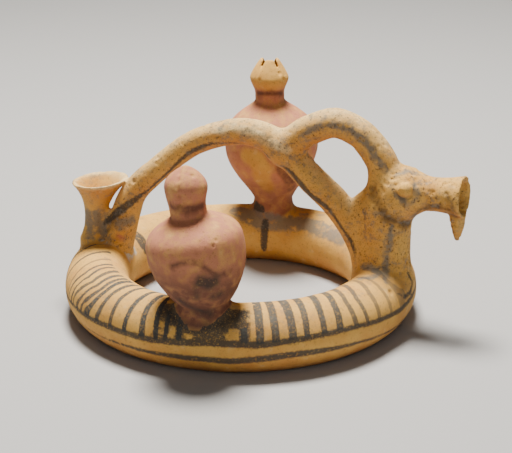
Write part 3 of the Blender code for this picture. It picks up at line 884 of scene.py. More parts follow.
relief = {
    "swell": ((15.0, 0.24), (6.0, 0.13), (2.6, 0.06)),     # size of the unevenness and its height, in mm
    "pitSize": 2.1, "pitDepth": 0.55, "crackDepth": 0.7,
    "cracks": {                                             # x, y, z and half width, in mm
        "budCrack": (
            (-10.2, -83.1, 108.5, 0.5), (-10.5, -87.9, 105.8, 0.7), (-10.1, -91.3, 102.2, 0.7),
            (-8.8, -92.4, 98.5, 0.5), (-9.1, -91.7, 92.9, 0.7),
        ),
        "crackA": (
            (-3.3, 65.1, 24.5, 0.3), (1.9, 64.5, 22.6, 0.3), (6.2, 64.4, 23, 0.3), (9.8, 65.1, 25.6, 0.3),
        ),
        "crackB": (
            (0.6, 69.9, 38, 0.3), (4.4, 69.4, 41.7, 0.3), (8.6, 70, 44.4, 0.3),
        ),
        "crackC": (
            (4.6, 63.5, 18.7, 0.3), (8.3, 63.7, 21.5, 0.3), (12.8, 63.1, 22.1, 0.3),
        ),
        "crackD": (
            (45, -7.3, 77.5, 0.3), (47.5, -6.1, 79.1, 0.3), (47.7, -4.7, 80.9, 0.3),
        ),
    },
    "pits": (
        (5.1, 75.5, 118.6, 0.66), (7.4, 76.1, 114.9, 0.66), (-6.5, 70.8, 114.8, 0.66), (93.5, -8, 41.2, 0.88),
        (87.8, -12.9, 51.9, 0.66), (66.8, -6.7, 37.8, 0.88), (75.1, -6.8, 79.7, 0.66),
        (83.9, -11.8, 83.7, 0.66), (86.2, -13.6, 72.6, 0.66), (88.9, -13.4, 72.2, 0.66),
        (89.9, -29.5, 28.9, 0.88), (83.6, -14.7, 37.6, 0.66), (78.8, -14.1, 46.9, 0.5),
        (74.1, -12.2, 49.2, 0.5), (69.4, -7.8, 54.2, 0.88), (75, -12.8, 58.2, 0.66), (79, -14.1, 61.9, 0.66),
        (92.2, -9.4, 51.5, 0.5), (90.7, -11.1, 39.2, 0.5), (80.3, -14.3, 53.4, 0.5), (76.8, -13.6, 38.9, 0.5),
        (95.4, -5.1, 37.4, 0.66), (89, -12.1, 44.7, 0.5), (72.3, -11.1, 44.6, 0.5),
        (-3.2, -86.1, 105.7, 0.66), (-9.4, -92.2, 96.3, 0.66), (-8.7, -91.3, 91.3, 0.66),
        (11.4, -97.7, 76.7, 0.5), (3.1, -105, 71.3, 0.5), (10.6, -100.3, 74.4, 0.5), (-60.7, -5.6, 72.3, 0.88),
        (-46.8, -4, 87, 0.66), (-12.9, -7.1, 101.9, 0.5), (35.2, -4.1, 94.1, 0.66), (44.5, 47.7, 24.7, 0.5),
        (35.2, 53.2, 14.2, 0.66), (24.8, 59.4, 11.6, 0.5),
    ),
}


def reliefHeight(p, forms):
    # How far the clay stands out, in mm: three sizes of smooth noise for the hand-made swell; less the pits
    # where a finer noise passes a level; less each marked pit and crack, deepest on its middle.
    rise = sum(height * lumps(p, size, 3 + i) for i, (size, height) in enumerate(relief["swell"]))
    level = 0.52 - 0.30 * forms["neck"] - 0.10 * forms["rods"]
    pit = smoothStep((lumps(p, relief["pitSize"], 11) - level) / 0.35)
    rise -= relief["pitDepth"] * pit * (0.25 + 0.75 * np.maximum(forms["neck"], 0.4 * forms["rods"]))
    for x, y, z, size in relief["pits"]:
        rows = near(p, (x - 3, y - 3, z - 3), (x + 3, y + 3, z + 3))
        away = np.linalg.norm(p[rows] - np.array([x, y, z]), axis=1)
        rise[rows] -= 1.1 * size * smoothStep(1.3 - away / (2.0 * size))
    for path in relief["cracks"].values():
        knots = np.array(path)
        rows = near(p, knots[:, :3].min(0) - 4.0, knots[:, :3].max(0) + 4.0)
        wobble = 0.5 * lumps(p[rows], 2.0, 17)
        rise[rows] -= relief["crackDepth"] * smoothStep((0.75 + wobble - rodDistance(p[rows], knots)) / 1.1)
    lip = forms["funnel"] * smoothStep((p[:, 2] - ringTop - funnel["height"] + 5.0) / 3.0)
    groove = strokeDepth(p, ("headGroove",))
    rise -= 0.9 * smoothStep((groove + 0.6) / 2.0) * (0.7 + 0.3 * lumps(p, 3.0, 31))
    rise += lip * (0.35 * lumps(p, 5.0, 21) - 0.55 * smoothStep((lumps(p, 3.4, 22) - 0.35) / 0.3))
    return rise


def insideBox(p, box):
    # Points past a side of the box go back, and those near it follow with an eased share.
    low, high = (np.array(corner) * 1000.0 - ringMiddle for corner in box)
    reach = 14.0
    for axis in range(3):
        over = max(p[:, axis].max() - high[axis], 0.0) + 0.01
        p[:, axis] -= over * smoothStep((p[:, axis] - high[axis] + reach) / reach)
        if axis < 2:
            over = max(low[axis] - p[:, axis].min(), 0.0) + 0.01
            p[:, axis] += over * smoothStep((low[axis] + reach - p[:, axis]) / reach)
    return np.clip(p, low, high)


def makeVesselMesh():
    # The net over the grid, pulled to the surface and evened out, then raised along its normals by the relief
    step = meshSteps["step"]
    low, values = surfaceGrid(vesselDistance, meshSteps["low"], meshSteps["high"], step)
    filled = fillTouches(values, step)
    points, faces = netOverGrid(low, values, step)
    report("grid %s, %d corners filled, %d points, %d faces" % (values.shape, filled, len(points), len(faces)))
    mesh = bpy.data.meshes.new("ring_vessel_net")
    mesh.from_pydata(points.tolist(), [], faces.tolist())
    edges = readEdges(mesh)
    points = pullToSurface(vesselDistance, points)
    points = evenOut(points, edges, towardNormals(points), 0.5)
    points = pullToSurface(vesselDistance, points)
    report("pulled to the surface")
    normals = towardNormals(points)
    outer = smoothStep(hollowDistance(points) / 1.2 + 1.0) * smoothStep((points[:, 2] - 0.2) / 1.5)
    points += (reliefHeight(points, readForms(points)) * outer)[:, None] * normals
    writePoints(mesh, points)
    report("relief")
    whole = bpy.data.objects.new("ring_vessel_net", mesh)
    bpy.context.scene.collection.objects.link(whole)
    fewer = whole.modifiers.new("fewer", "DECIMATE")
    fewer.ratio = min(meshSteps["triangles"] / (2.0 * len(faces)), 1.0)
    bpy.context.view_layer.update()
    result = bpy.data.meshes.new_from_object(whole.evaluated_get(bpy.context.evaluated_depsgraph_get()))
    bpy.data.objects.remove(whole)
    result.name = "ring_vessel_clay"
    result.validate()
    points = insideBox(readPoints(result), cadBox)
    writePoints(result, points)
    report("%d points, %d faces kept" % (len(result.vertices), len(result.polygons)))
    return result


# The painted pattern. The ring's own angles place it: turn goes round the ring from +X, and tube goes round the
# tube from its outer side over its top, both in degrees.
stripes = {
    # tube angle 100, 60 and 25, half width in mm, strength
    "left": (
        (-174.2, -168.8, -164.0, 0.70, 0.80), (-163.5, -159.7, -158.0, 0.80, 0.90),
        (-155.5, -152.0, -150.5, 0.60, 0.65), (-149.2, -146.8, -148.4, 0.80, 0.95),
        (-145.8, -142.7, -144.5, 0.80, 0.95), (-140.7, -138.2, -142.5, 1.00, 0.90),
        (-135.7, -134.5, -138.0, 0.85, 0.95), (-131.9, -131.1, -135.3, 0.90, 0.95),
        (-129.0, -128.5, -130.8, 1.00, 1.00), (-123.5, -124.9, -126.0, 0.85, 0.95),
        (-119.0, -120.2, -120.0, 0.85, 0.95), (-112.0, -113.5, -114.1, 1.00, 1.00),
        (-107.2, -108.2, -107.5, 1.10, 1.00), (-104.0, -103.8, -102.6, 1.10, 1.00),
    ),
    "foot": (
        (-99.5, -99.5, -99.4, 0.90, 1.00), (-95.0, -95.0, -95.0, 1.10, 1.00), (-75.3, -75.3, -75.3, 1.30, 0.95),
    ),
    "right": (
        (-70.5, -70.5, -70.5, 1.65, 0.95), (-65.8, -65.8, -65.8, 1.60, 0.95), (-60.4, -60.4, -60.4, 1.80, 0.95),
        (-54.7, -55.4, -56.1, 1.35, 0.95), (-48.1, -49.7, -50.2, 1.35, 0.95), (-42.0, -43.9, -44.9, 1.40, 0.95),
        (-36.8, -39.0, -38.7, 1.05, 0.85), (-30.8, -34.2, -34.0, 1.00, 0.85), (-24.0, -27.7, -28.5, 1.10, 0.70),
        (-20.1, -21.5, -22.0, 0.90, 0.55), (-11.3, -15.1, -15.5, 1.30, 0.50),
    ),
}
bands = {
    # turn, tube angle of the middle, half width in mm
    "upper": (
        (-270, 8, 1.4), (-200, 5, 1.4), (-165, 1, 1.3), (-150, 0, 1.3), (-140, 2, 1.5), (-132, 3, 1.8),
        (-122, 5, 2.1), (-113.6, 5, 2.1), (-104, 6, 2.2), (-96, 9, 2.4), (-87, 14, 2.4), (-76.5, 13, 2.4),
        (-70.6, 11, 2.4), (-61.6, 14, 2.1), (-52, 16, 2.0), (-41.4, 16, 1.8), (-28.6, 10, 1.8), (-17, 6, 1.9),
        (-5.7, 7, 1.8), (2.8, 11, 1.5), (20, 10, 1.4), (90, 8, 1.4),
    ),
    "lower": (
        (-270, -20, 1.1), (-200, -22, 1.0), (-150, -25, 0.9), (-128, -24, 0.9), (-121, -22, 1.3),
        (-105, -19, 1.7), (-95, -18, 2.1), (-88.5, -17, 2.4), (-79.5, -19, 2.5), (-70.6, -15, 2.6),
        (-61.6, -11, 2.5), (-52, -12, 2.3), (-47, -13, 1.9), (-37, -16, 1.5), (-21, -26, 1.2), (10, -27, 1.0),
        (90, -20, 1.1),
    ),
}
strokes = {
    # x, y, z and half width, in mm, along the middle of each stroke where it lies on the clay
    # Painted shadow under the eye boss
    "bossShadow": (
        (90, -14.4, 79.2, 1.7), (92, -15, 77.2, 1.8), (94.8, -14.6, 76.6, 1.8), (97.2, -13.4, 77.6, 1.6),
    ),
    "stemLeft": (
        (-89.5, -5.5, 50, 3.6), (-88.5, -6, 44.5, 3.8), (-86.5, -6, 41, 3.2),
    ),
    "backBand": (
        (-1.5, 66.9, 27, 2.8), (-1.6, 64.6, 20, 2.8), (-1.8, 63.6, 14.5, 2.7), (-2, 64.5, 9.5, 2.5),
    ),
    "archBand": (
        (-80.2, -1.8, 43.6, 2.3), (-73.7, -6.1, 50.5, 2.9), (-67.8, -7.4, 55.7, 2.8), (-63, -7.1, 59.5, 2.6),
        (-58.6, -5.9, 63.1, 2), (-51.7, -4.7, 68.6, 1.4), (-43.9, -4.9, 75.8, 1.4), (-38.4, -5.2, 81.5, 1.4),
        (-33.6, -5.5, 86.7, 1.7), (-27.6, -5.9, 91.8, 1.9), (-21.8, -6, 95.2, 1.9), (-16.1, -6.1, 97.9, 1.7),
        (-9.4, -5.6, 98.8, 1.1), (-2.1, -5.2, 98.6, 1.1), (20.5, -5.6, 91.8, 1.6), (26.8, -6.1, 87.8, 1.9),
        (31.4, -6.4, 83.7, 2.2), (35.9, -6.3, 78.2, 2.5), (40.3, -6, 72.7, 2.7), (46.1, -6.5, 69.3, 2.5),
        (51.2, -7, 65.8, 1.9), (55.7, -6.9, 59.7, 1.6), (60.3, -7, 53.2, 1.6), (64.4, -7.4, 47.8, 1.9),
        (66.8, -7.4, 42.7, 2.2), (66.8, -6.8, 38.4, 1.4),
    ),
    "loopBand": (
        (36, -8.2, 106.1, 1.4), (40.7, -7.7, 110.2, 1.9), (48.4, -7.7, 113, 1.9), (56.5, -7.7, 113, 1.6),
        (63.1, -7.6, 110.6, 1.9), (68.6, -7.8, 106.6, 2.1), (73.1, -7.9, 101.9, 2.1), (77, -8.1, 96.6, 2.2),
        (80.3, -7.8, 92.9, 1.9), (82.6, -7.4, 89.5, 1.1),
    ),
    "headTop": (
        (87.6, -8.1, 87.9, 1.3), (92.5, -5.1, 88.4, 2.2), (97.8, -4.1, 87.9, 1.4),
    ),
    "headSide": (
        (86.2, -12.6, 83, 1.8), (89.8, -13.9, 78.1, 2.2), (95.2, -12.8, 74.2, 2.2), (100.4, -12.8, 78, 1.8),
        (97.8, -11, 83.4, 1.6),
    ),
    # Dark paint with painted shade in the groove behind the head; the groove is also cut into the clay
    "headGroove": (
        (76.4, -8.1, 79.7, 2.8), (78, -10.1, 75.3, 3.2), (79.7, -13.3, 70.8, 3.4), (82.6, -14.1, 66.8, 3.4),
        (86.9, -13.3, 64, 3.5), (91.5, -10.3, 61.6, 3.2), (95.1, -4.6, 59.9, 2.8),
    ),
    # Brown paint with painted shade along the muzzle's underside
    "muzzleUnderBrownAndShade": (
        (95.4, -3.7, 63.1, 1.7), (100.2, -9, 68.7, 2), (105.8, -11.7, 72.4, 2), (112.4, -13.7, 73.6, 2),
        (117.9, -14.6, 72.1, 2), (120.3, -10.7, 68.2, 2.2),
    ),
    "muzzleBack": (
        (116.6, -15.4, 80.7, 1.5), (118.5, -16.6, 76.8, 1.5), (120.2, -16.2, 72.9, 1.5),
    ),
    "neckStripe": (
        (87.1, -13.2, 60, 1.7), (86.2, -13.5, 53.1, 2.0), (85.4, -13.7, 46.7, 2.0), (84.5, -14, 39.8, 2.0),
        (84.7, -17.3, 34.1, 2.0), (85.5, -25.8, 32.8, 1.7),
    ),
    "neckFootRight": (
        (95.8, -7.1, 32.3, 1.4), (97.4, -4.8, 25, 1.7), (97.8, -11, 22.2, 1.7), (95.9, -20.7, 23, 1.6),
        (92.6, -25.4, 26.9, 1.1),
    ),
    "neckFootLeft": (
        (71.7, -12.1, 34.3, 2.3), (76.4, -14.3, 35.6, 2.5), (82.1, -18.8, 34.4, 2.3), (79.1, -27.2, 34.5, 1.9),
        (72.8, -28.3, 34.3, 1.9),
    ),
    "funnelStem": (
        (-82.9, -5.7, 50.2, 3.9), (-81.7, -4.3, 45.6, 4.5), (-80.5, -3.3, 40.4, 3.9),
    ),
    "funnelBase": (
        (-88.6, -8, 36.6, 1.2), (-82.7, -7.7, 35.7, 1.4), (-75.6, -7.4, 37.5, 1.4),
    ),
    "archFoot": (
        (-69, -7.3, 53.7, 3), (-74.3, -6.5, 47, 3), (-77, -6.2, 41.8, 2),
    ),
    "leftBlotch": (
        (-68.6, 19.6, 32.6, 3.6), (-66.1, 18.7, 29.4, 4.6), (-63.4, 17.7, 25.6, 4.2), (-61.5, 17.5, 22.0, 3.0),
    ),
    "backGreyA": (
        (-19.9, 71.7, 33.2, 5.2), (-11.7, 68.8, 30.3, 5.6), (-3.7, 67.1, 27.7, 5.5), (5, 67.1, 27.8, 5.1),
        (13.7, 67, 29.2, 5.1), (22.7, 65.4, 29.8, 5.1), (32.2, 61.1, 29.6, 5.5), (40.7, 54.5, 28.9, 5.1),
        (48.2, 47, 27.8, 3.9),
    ),
    "backGreyB": (
        (18.7, 72.6, 33.4, 2), (32.3, 72.6, 34.5, 1.7),
    ),
    "backBlot": (
        (-9.1, 73.7, 35.3, 3.2), (-4.5, 70.2, 34.3, 2.8),
    ),
    "fruitSmudge": (
        (4.8, -104.4, 56.8, 4.5), (8.4, -102.6, 55.4, 5.3), (11.1, -100.9, 56.1, 4.2),
    ),
    "fruitSmudgeTwo": (
        (10.2, -98.1, 46.7, 2.6), (13.2, -95.8, 47.2, 2.6),
    ),
    "fruitSmudgeThree": (
        (2.5, -103.8, 52.1, 1.9), (2.4, -101.8, 46.9, 1.9),
    ),
    "fruitArc": (
        (-10.2, -105.6, 63.4, 0.5), (-4.7, -106.5, 66.4, 0.7), (0.3, -106.3, 67.3, 0.7),
        (5.1, -105, 66.2, 0.7), (8.7, -103.4, 62.7, 0.7), (13, -100.2, 59.2, 0.7), (17.7, -94.9, 59.1, 0.8),
    ),
    "fruitFoot": (
        (-18.6, -88.6, 32.3, 2.3), (-11.3, -93.5, 29.5, 2.6), (-3, -96.6, 27.2, 2.6), (4.7, -96, 27.7, 2.5),
        (12, -93.7, 29.2, 2.3), (17.3, -89.5, 31.8, 2.3), (22.4, -84.6, 33.6, 2),
    ),
    "fruitLow": (
        (-7.3, -99.1, 43.3, 3), (-0.4, -96.1, 38.3, 3.2), (6.8, -93.8, 34.8, 3),
    ),
    "budWaist": (
        (-13.5, -89.2, 89.6, 1.3), (-7.8, -91, 89.1, 1.7), (-2.1, -89.2, 89.5, 1.7), (1.3, -84.6, 89.8, 1.3),
    ),
    "yellowBack": (
        (-9.5, 55, 72.4, 4.5), (-4.4, 54, 70.6, 5.4), (-1, 55, 65.5, 5.1), (-1.7, 58.1, 58.2, 4.5),
        (0.9, 62.9, 50.6, 3.6),
    ),
    "redBack": (
        (9.5, 57.1, 65.7, 2.4), (13.1, 63.1, 57.8, 2.4), (13.8, 71.5, 48.8, 1.8),
    ),
    "waistBack": (
        (-8, 74.5, 105.8, 1.2), (-0.3, 72.6, 107.4, 1.5), (5.8, 78.4, 105.7, 1.2),
    ),
    "smallRed": (
        (-70.3, -8.4, 40.1, 0.9), (-67.3, -7, 38, 0.9),
    ),
    "leftGrey": (
        (-69, -8.2, 46.2, 3), (-62.5, -5.8, 48.9, 3),
    ),
    "archPale": (
        (-1.9, -5.8, 107.4, 2.2), (6.7, -6.5, 105.9, 2.5), (13.5, -7.1, 103.1, 2.5), (20.8, -7.2, 99.7, 2.2),
        (28.3, -8.2, 97.7, 1.9),
    ),
    "archPaleTwo": (
        (-13.3, -5.7, 105.4, 1.6), (-7.4, -6.5, 104.9, 1.9),
    ),
}


def strokeDepth(p, names):
    # How deep each point lies inside the nearest stroke, in mm
    depth = np.full(len(p), -4.0)
    for name in names:
        knots = np.array(strokes[name])
        rows = near(p, knots[:, :3].min(0) - 8.0, knots[:, :3].max(0) + 8.0)
        depth[rows] = np.maximum(depth[rows], -rodDistance(p[rows], knots))
    return depth


def ringAngles(p):
    # turn = atan2(y, x), carried on past -180 so that the left side has no jump; tube = atan2(z - h, r - R)
    turn = np.degrees(np.arctan2(p[:, 1], p[:, 0]))
    turn = np.where(turn > 90.0, turn - 360.0, turn)
    across = np.hypot(p[:, 0], p[:, 1]) - ring["radius"]
    tube = np.degrees(np.arctan2(p[:, 2] - tubeHeight, across))
    return turn, np.where(tube < -120.0, tube + 360.0, tube)


def straightTurn(turn, tube):
    # The stripes bend a little down the tube: the turn is read back to where its stripe stands at 60 degrees.
    rows = np.array([row for kind in stripes.values() for row in kind])
    atTop = np.interp(turn, rows[:, 0], rows[:, 1])
    atFoot = np.interp(turn, rows[:, 2], rows[:, 1])
    above = mix(turn, atTop, np.clip((tube - 60.0) / 40.0, 0.0, 1.3))
    below = mix(turn, atFoot, np.clip((60.0 - tube) / 35.0, 0.0, 1.3))
    ends = (turn < -172.0) | (turn > -9.0)
    return np.where(ends, turn, np.where(tube > 60.0, above, below))


# The dark panel at the front fruit's foot, with small windows of bare clay
panel = {
    "turns": (-104.0, -73.0), "top": 78.0, "edge": 1.5, "stripeTurns": (-103.0, -78.0), "stripeTop": 60.0,
    "lastTurns": (-78.0, -72.5), "lastTop": 41.0,
    "windows": (                        # turn of the middle, half width in mm, lowest and highest tube angle
        (-101.2, 0.8, 14, 38), (-97.3, 1.2, 12, 33), (-91.9, 1.2, 9, 24), (-84.5, 0.9, 8, 18),
        (-78.4, 2.1, 10, 37),
    ),
}
stripeEnds = {"turns": (-178.0, -7.0), "top": 117.0}


def ringLayers(p, forms):
    # Stripes: the turn of each point, mm for a degree of it, and how far the stripes still reach down the tube.
    # Bands and panel: mm inside the nearest band's edge, or the panel's, less the windows.
    turn, tube = ringAngles(p)
    perDegree = math.pi / 180.0 * ring["tube"]
    upper, lower = (np.array(bands[name]) for name in ("upper", "lower"))
    upperAway = (tube - np.interp(turn, upper[:, 0], upper[:, 1])) * perDegree
    lowerAway = (tube - np.interp(turn, lower[:, 0], lower[:, 1])) * perDegree
    band = np.maximum(np.interp(turn, upper[:, 0], upper[:, 2]) - np.abs(upperAway),
                      np.interp(turn, lower[:, 0], lower[:, 2]) - np.abs(lowerAway))
    band = np.where(forms["ring"] > 0.2, band, -4.0)
    reach = np.minimum(upperAway, (stripeEnds["top"] - tube) * perDegree)
    for turns, top in (("lastTurns", "lastTop"), ("stripeTurns", "stripeTop")):
        inPanel = (turn > panel[turns][0]) & (turn < panel[turns][1])
        reach = np.where(inPanel, np.minimum(reach, (panel[top] - tube) * perDegree), reach)
    striped = (forms["ring"] > 0.35) & (turn > stripeEnds["turns"][0]) & (turn < stripeEnds["turns"][1])
    start, stop = panel["turns"]
    zone = np.minimum.reduce([(turn - start) * panel["edge"], (stop - turn) * panel["edge"], upperAway,
                              (panel["top"] - tube) * perDegree])
    for middle, half, low, high in panel["windows"]:
        window = np.minimum(half - np.abs(turn - middle) * 1.6, np.minimum(tube - low, high - tube) * perDegree)
        zone = np.minimum(zone, -window * 1.6)
    zone = np.where(forms["ring"] > 0.15, zone, -4.0)
    crust = np.minimum.reduce([8.5 - np.abs(turn + 180.5) * 1.1, (tube - 84.0) * perDegree,
                               (160.0 - tube) * perDegree])
    return {
        "stripe_turn": straightTurn(turn, tube),
        "stripe_scale": math.pi / 180.0 * (ring["radius"] + ring["tube"] * np.cos(np.radians(tube))),
        "stripe_reach": np.where(striped, reach, -4.0),
        "dark_paint": np.maximum(band, np.minimum(zone, 1.0)),
        "crust": np.where(forms["ring"] > 0.15, crust, -4.0),
    }


strokeKinds = {
    "dark_paint": ("backBand", "archBand", "leftBlotch", "backBlot", "neckFootRight"),
    # Sooty smudges, with painted shadow under the eye boss and the muzzle and painted shade in the head's groove
    "soot_and_shadow": ("fruitFoot", "fruitSmudge", "fruitSmudgeTwo", "fruitSmudgeThree", "fruitLow", "archFoot",
             "muzzleUnderBrownAndShade", "muzzleBack", "headGroove", "bossShadow"),
    "grey_wash": ("loopBand", "headTop", "headSide", "neckStripe", "neckFootLeft", "funnelStem", "backGreyA",
                  "backGreyB", "leftGrey", "stemLeft", "funnelBase"),
    "brown": ("budWaist", "waistBack", "redBack", "fruitArc"),
    "pale": ("archPale", "archPaleTwo"),
}


def clayLayers(p, forms):
    # Shares from 0 to 1: slips by form and height, with painted shade in the brown low down; pale clay and
    # orange clay by how far the surface looks up, as a painted highlight on the handles' tops and painted shade
    # on faces that look down
    bud = smoothStep((p[:, 2] - 92.0) / 4.0) * forms["front"]
    calyx = smoothStep((p[:, 2] - ringTop - 0.80 * fruitBack["height"]) / 2.0) * forms["back"]
    fruits = np.maximum(forms["front"], forms["back"])
    slip = fruits * (1.0 - calyx) * (1.0 - smoothStep(strokeDepth(p, ("yellowBack",)) / 3.0 + 0.7))
    # Painted shade: the front fruit browner below its belly; the ring browner towards its foot, partly painted
    # shade and partly dirt; the back fruit browner towards its foot.
    front = forms["front"] * smoothStep((68.0 - p[:, 2]) / 20.0) * (1.0 - bud)
    back = forms["back"] * smoothStep((62.0 - p[:, 2]) / 16.0) * 0.6
    low = forms["ring"] * smoothStep((11.0 - p[:, 2]) / 12.0) * 0.55
    up = towardNormals(p)[:, 2]
    # Painted highlight: the handles go pale where they face up; the pale strokes and the funnel's rim are the
    # clay's own.
    pale = forms["rods"] * smoothStep((up - 0.1) / 0.8) * 0.55
    pale += smoothStep(strokeDepth(p, strokeKinds["pale"]) / 2.5 + 0.6)
    layers = {
        "red_slip": slip + smoothStep(strokeDepth(p, ("smallRed",)) + 0.8),
        "brown_slip_and_low_shade": smoothStep(strokeDepth(p, strokeKinds["brown"]) / 2.2 + 0.75) + front + back + low,
        "pale_clay_and_top_highlight": pale + forms["funnel"] * smoothStep((p[:, 2] - 67.0) / 3.0) * 0.9,
        # Painted shade: the clay turns a darker orange where the surface faces down.
        "warm_clay_and_underside_shade": smoothStep((0.10 - up) / 1.1) * 0.80,
        "mottle": 0.75 * forms["rods"] + 0.8 * forms["neck"] + 0.6 * forms["funnel"]
                  + 0.35 * forms["ring"] * (up > 0.3),
        "pitted": forms["neck"] + 0.45 * forms["rods"] + 0.12,
    }
    return {name: np.clip(share, 0.0, 1.0) for name, share in layers.items()}


def paintLayers(p):
    # The ring's own pattern, the strokes of each kind of paint, and the colours of the clay
    forms = readForms(p)
    layers = ringLayers(p, forms)
    layers["dark_paint"] = np.maximum(layers["dark_paint"], strokeDepth(p, strokeKinds["dark_paint"]))
    layers["soot_and_shadow"] = strokeDepth(p, strokeKinds["soot_and_shadow"]) + 1.3
    layers["grey_wash"] = strokeDepth(p, strokeKinds["grey_wash"]) + 1.0
    layers.update(clayLayers(p, forms))
    return layers


def writeLayers(mesh, layers):
    for name, values in layers.items():
        attribute = mesh.attributes.new(name, "FLOAT", "POINT")
        attribute.data.foreach_set("value", np.ascontiguousarray(values, np.float32))
    report("paint layers: " + ", ".join(layers))


vesselMesh = makeVesselMesh()
writeLayers(vesselMesh, paintLayers(readPoints(vesselMesh)))
writePoints(vesselMesh, toPart(readPoints(vesselMesh)))
vesselMesh.shade_smooth()
vessel = bpy.data.objects.new("clay_vessel", vesselMesh)
bpy.context.scene.collection.objects.link(vessel)

clay = {
    "yellow": (0.70, 0.385, 0.078), "orange": (0.52, 0.205, 0.034), "pale": (0.82, 0.61, 0.29),
    "red": (0.49, 0.185, 0.092), "brown": (0.130, 0.046, 0.024), "dirt": (0.060, 0.034, 0.018),
    "paint": (0.036, 0.034, 0.030), "paintThin": (0.052, 0.049, 0.040), "wash": (0.170, 0.160, 0.130),
    "soot_and_shadow": (0.022, 0.017, 0.014), "crust": (0.52, 0.50, 0.43), "rough": 0.86,
}


def makeGroup(name, inputs, outputs):
    group = bpy.data.node_groups.new(name, "ShaderNodeTree")
    for socket in inputs:
        group.interface.new_socket(socket, in_out="INPUT", socket_type="NodeSocketFloat")
    for socket in outputs:
        group.interface.new_socket(socket, in_out="OUTPUT", socket_type="NodeSocketFloat")
    return group, group.nodes.new("NodeGroupInput"), group.nodes.new("NodeGroupOutput")


def plug(tree, value, socket):
    # A socket is joined, and a plain number or colour is set
    if isinstance(value, bpy.types.NodeSocket):
        tree.links.new(value, socket)
    else:
        socket.default_value = value


def addMath(tree, operation, *values, clamp=False):
    node = tree.nodes.new("ShaderNodeMath")
    node.operation = operation
    node.use_clamp = clamp
    for value, socket in zip(values, node.inputs):
        plug(tree, value, socket)
    return node.outputs[0]


def addMix(tree, share, first, second):
    node = tree.nodes.new("ShaderNodeMix")
    node.data_type = "RGBA"
    plug(tree, share, node.inputs[0])
    for value, socket in ((first, node.inputs[6]), (second, node.inputs[7])):
        plug(tree, value if isinstance(value, bpy.types.NodeSocket) else (*value, 1.0), socket)
    return node.outputs[2]


def addNoise(tree, place, size, detail=3.0, rough=0.55):
    # The size of the pattern is in mm
    node = tree.nodes.new("ShaderNodeTexNoise")
    node.inputs["Scale"].default_value = 1000.0 / size
    node.inputs["Detail"].default_value = detail
    node.inputs["Roughness"].default_value = rough
    tree.links.new(place, node.inputs["Vector"])
    return node.outputs["Fac"]


def addRange(tree, value, low, high, start=0.0, end=1.0):
    node = tree.nodes.new("ShaderNodeMapRange")
    node.clamp = True
    for number, socket in zip((low, high, start, end), (1, 2, 3, 4)):
        node.inputs[socket].default_value = number
    tree.links.new(value, node.inputs[0])
    return node.outputs[0]


def readLayer(tree, name):
    node = tree.nodes.new("ShaderNodeAttribute")
    node.attribute_name = name
    return node.outputs["Fac"]


def makeWornPaint():
    # Coverage = depth in the stroke, moved by a ragged noise and eased over Soft, less what fine noise wore off
    group, given, result = makeGroup("worn_paint", ("Depth", "Ragged", "Grain", "Soft", "Wear"), ("Coverage",))
    ragged = addMath(group, "ADD", given.outputs["Depth"], given.outputs["Ragged"])
    cover = addMath(group, "DIVIDE", ragged, given.outputs["Soft"], clamp=True)
    loss = addMath(group, "SUBTRACT", given.outputs["Grain"], 0.57)
    loss = addMath(group, "MULTIPLY", loss, 7.0)
    loss = addMath(group, "ADD", loss, given.outputs["Wear"], clamp=True)
    kept = addMath(group, "SUBTRACT", 1.0, loss)
    group.links.new(addMath(group, "MULTIPLY", cover, kept), result.inputs["Coverage"])
    return group


def addWornPaint(tree, group, depth, ragged, grain, soft, wear):
    node = tree.nodes.new("ShaderNodeGroup")
    node.node_tree = group
    for name, value in (("Depth", depth), ("Ragged", ragged), ("Grain", grain), ("Soft", soft), ("Wear", wear)):
        plug(tree, value, node.inputs[name])
    return node.outputs["Coverage"]


def makeStripes():
    # For each stripe: half width less the way to its middle, in mm, eased and weighed; the largest counts.
    group, given, result = makeGroup("painted_stripes", ("Turn", "Scale", "Reach", "Ragged"), ("Coverage",))
    best = None
    reach = addMath(group, "ADD", given.outputs["Reach"], given.outputs["Ragged"])
    for row in [row for kind in stripes.values() for row in kind]:
        away = addMath(group, "ABSOLUTE", addMath(group, "SUBTRACT", given.outputs["Turn"], row[1]))
        away = addMath(group, "MULTIPLY", away, given.outputs["Scale"])
        depth = addMath(group, "SUBTRACT", row[3] * 1.15 + 0.50, away)
        depth = addMath(group, "ADD", depth, given.outputs["Ragged"])
        cover = addMath(group, "MULTIPLY", addMath(group, "DIVIDE", depth, 0.45, clamp=True), row[4])
        best = cover if best is None else addMath(group, "MAXIMUM", best, cover)
    ended = addMath(group, "DIVIDE", reach, 0.8, clamp=True)
    group.links.new(addMath(group, "MULTIPLY", best, ended), result.inputs["Coverage"])
    return group


def addClayColour(tree, noise, values):
    # Yellow clay that goes orange with its own tone and where painted shade lies on faces that look down, and
    # pale where it is pale and where a painted highlight lies on the handles' tops, under the red and brown
    # slips, the brown carrying painted shade low down
    warmAndShade = addRange(tree, noise["broad"], 0.35, 0.70, -0.15, 0.45)
    # The layer adds painted shade on faces that look down to the orange of the clay's own tone.
    warmAndShade = addMath(tree, "ADD", readLayer(tree, "warm_clay_and_underside_shade"), warmAndShade, clamp=True)
    colour = addMix(tree, warmAndShade, values["yellow"], values["orange"])
    pale = addRange(tree, noise["patches"], 0.30, 0.62, 0.25, 1.0)
    pale = addMath(tree, "MULTIPLY", readLayer(tree, "pale_clay_and_top_highlight"), pale)
    pale = addMath(tree, "MAXIMUM", pale, addRange(tree, noise["patches"], 0.60, 0.76, 0.0, 0.35))
    colour = addMix(tree, pale, colour, values["pale"])
    slip = addRange(tree, noise["patches"], 0.66, 0.46, 0.45, 1.0)
    colour = addMix(tree, addMath(tree, "MULTIPLY", readLayer(tree, "red_slip"), slip), colour, values["red"])
    brown = addRange(tree, noise["patches"], 0.66, 0.42, 0.45, 0.95)
    brown = addMath(tree, "MULTIPLY", readLayer(tree, "brown_slip_and_low_shade"), brown)
    return addMix(tree, brown, colour, values["brown"])


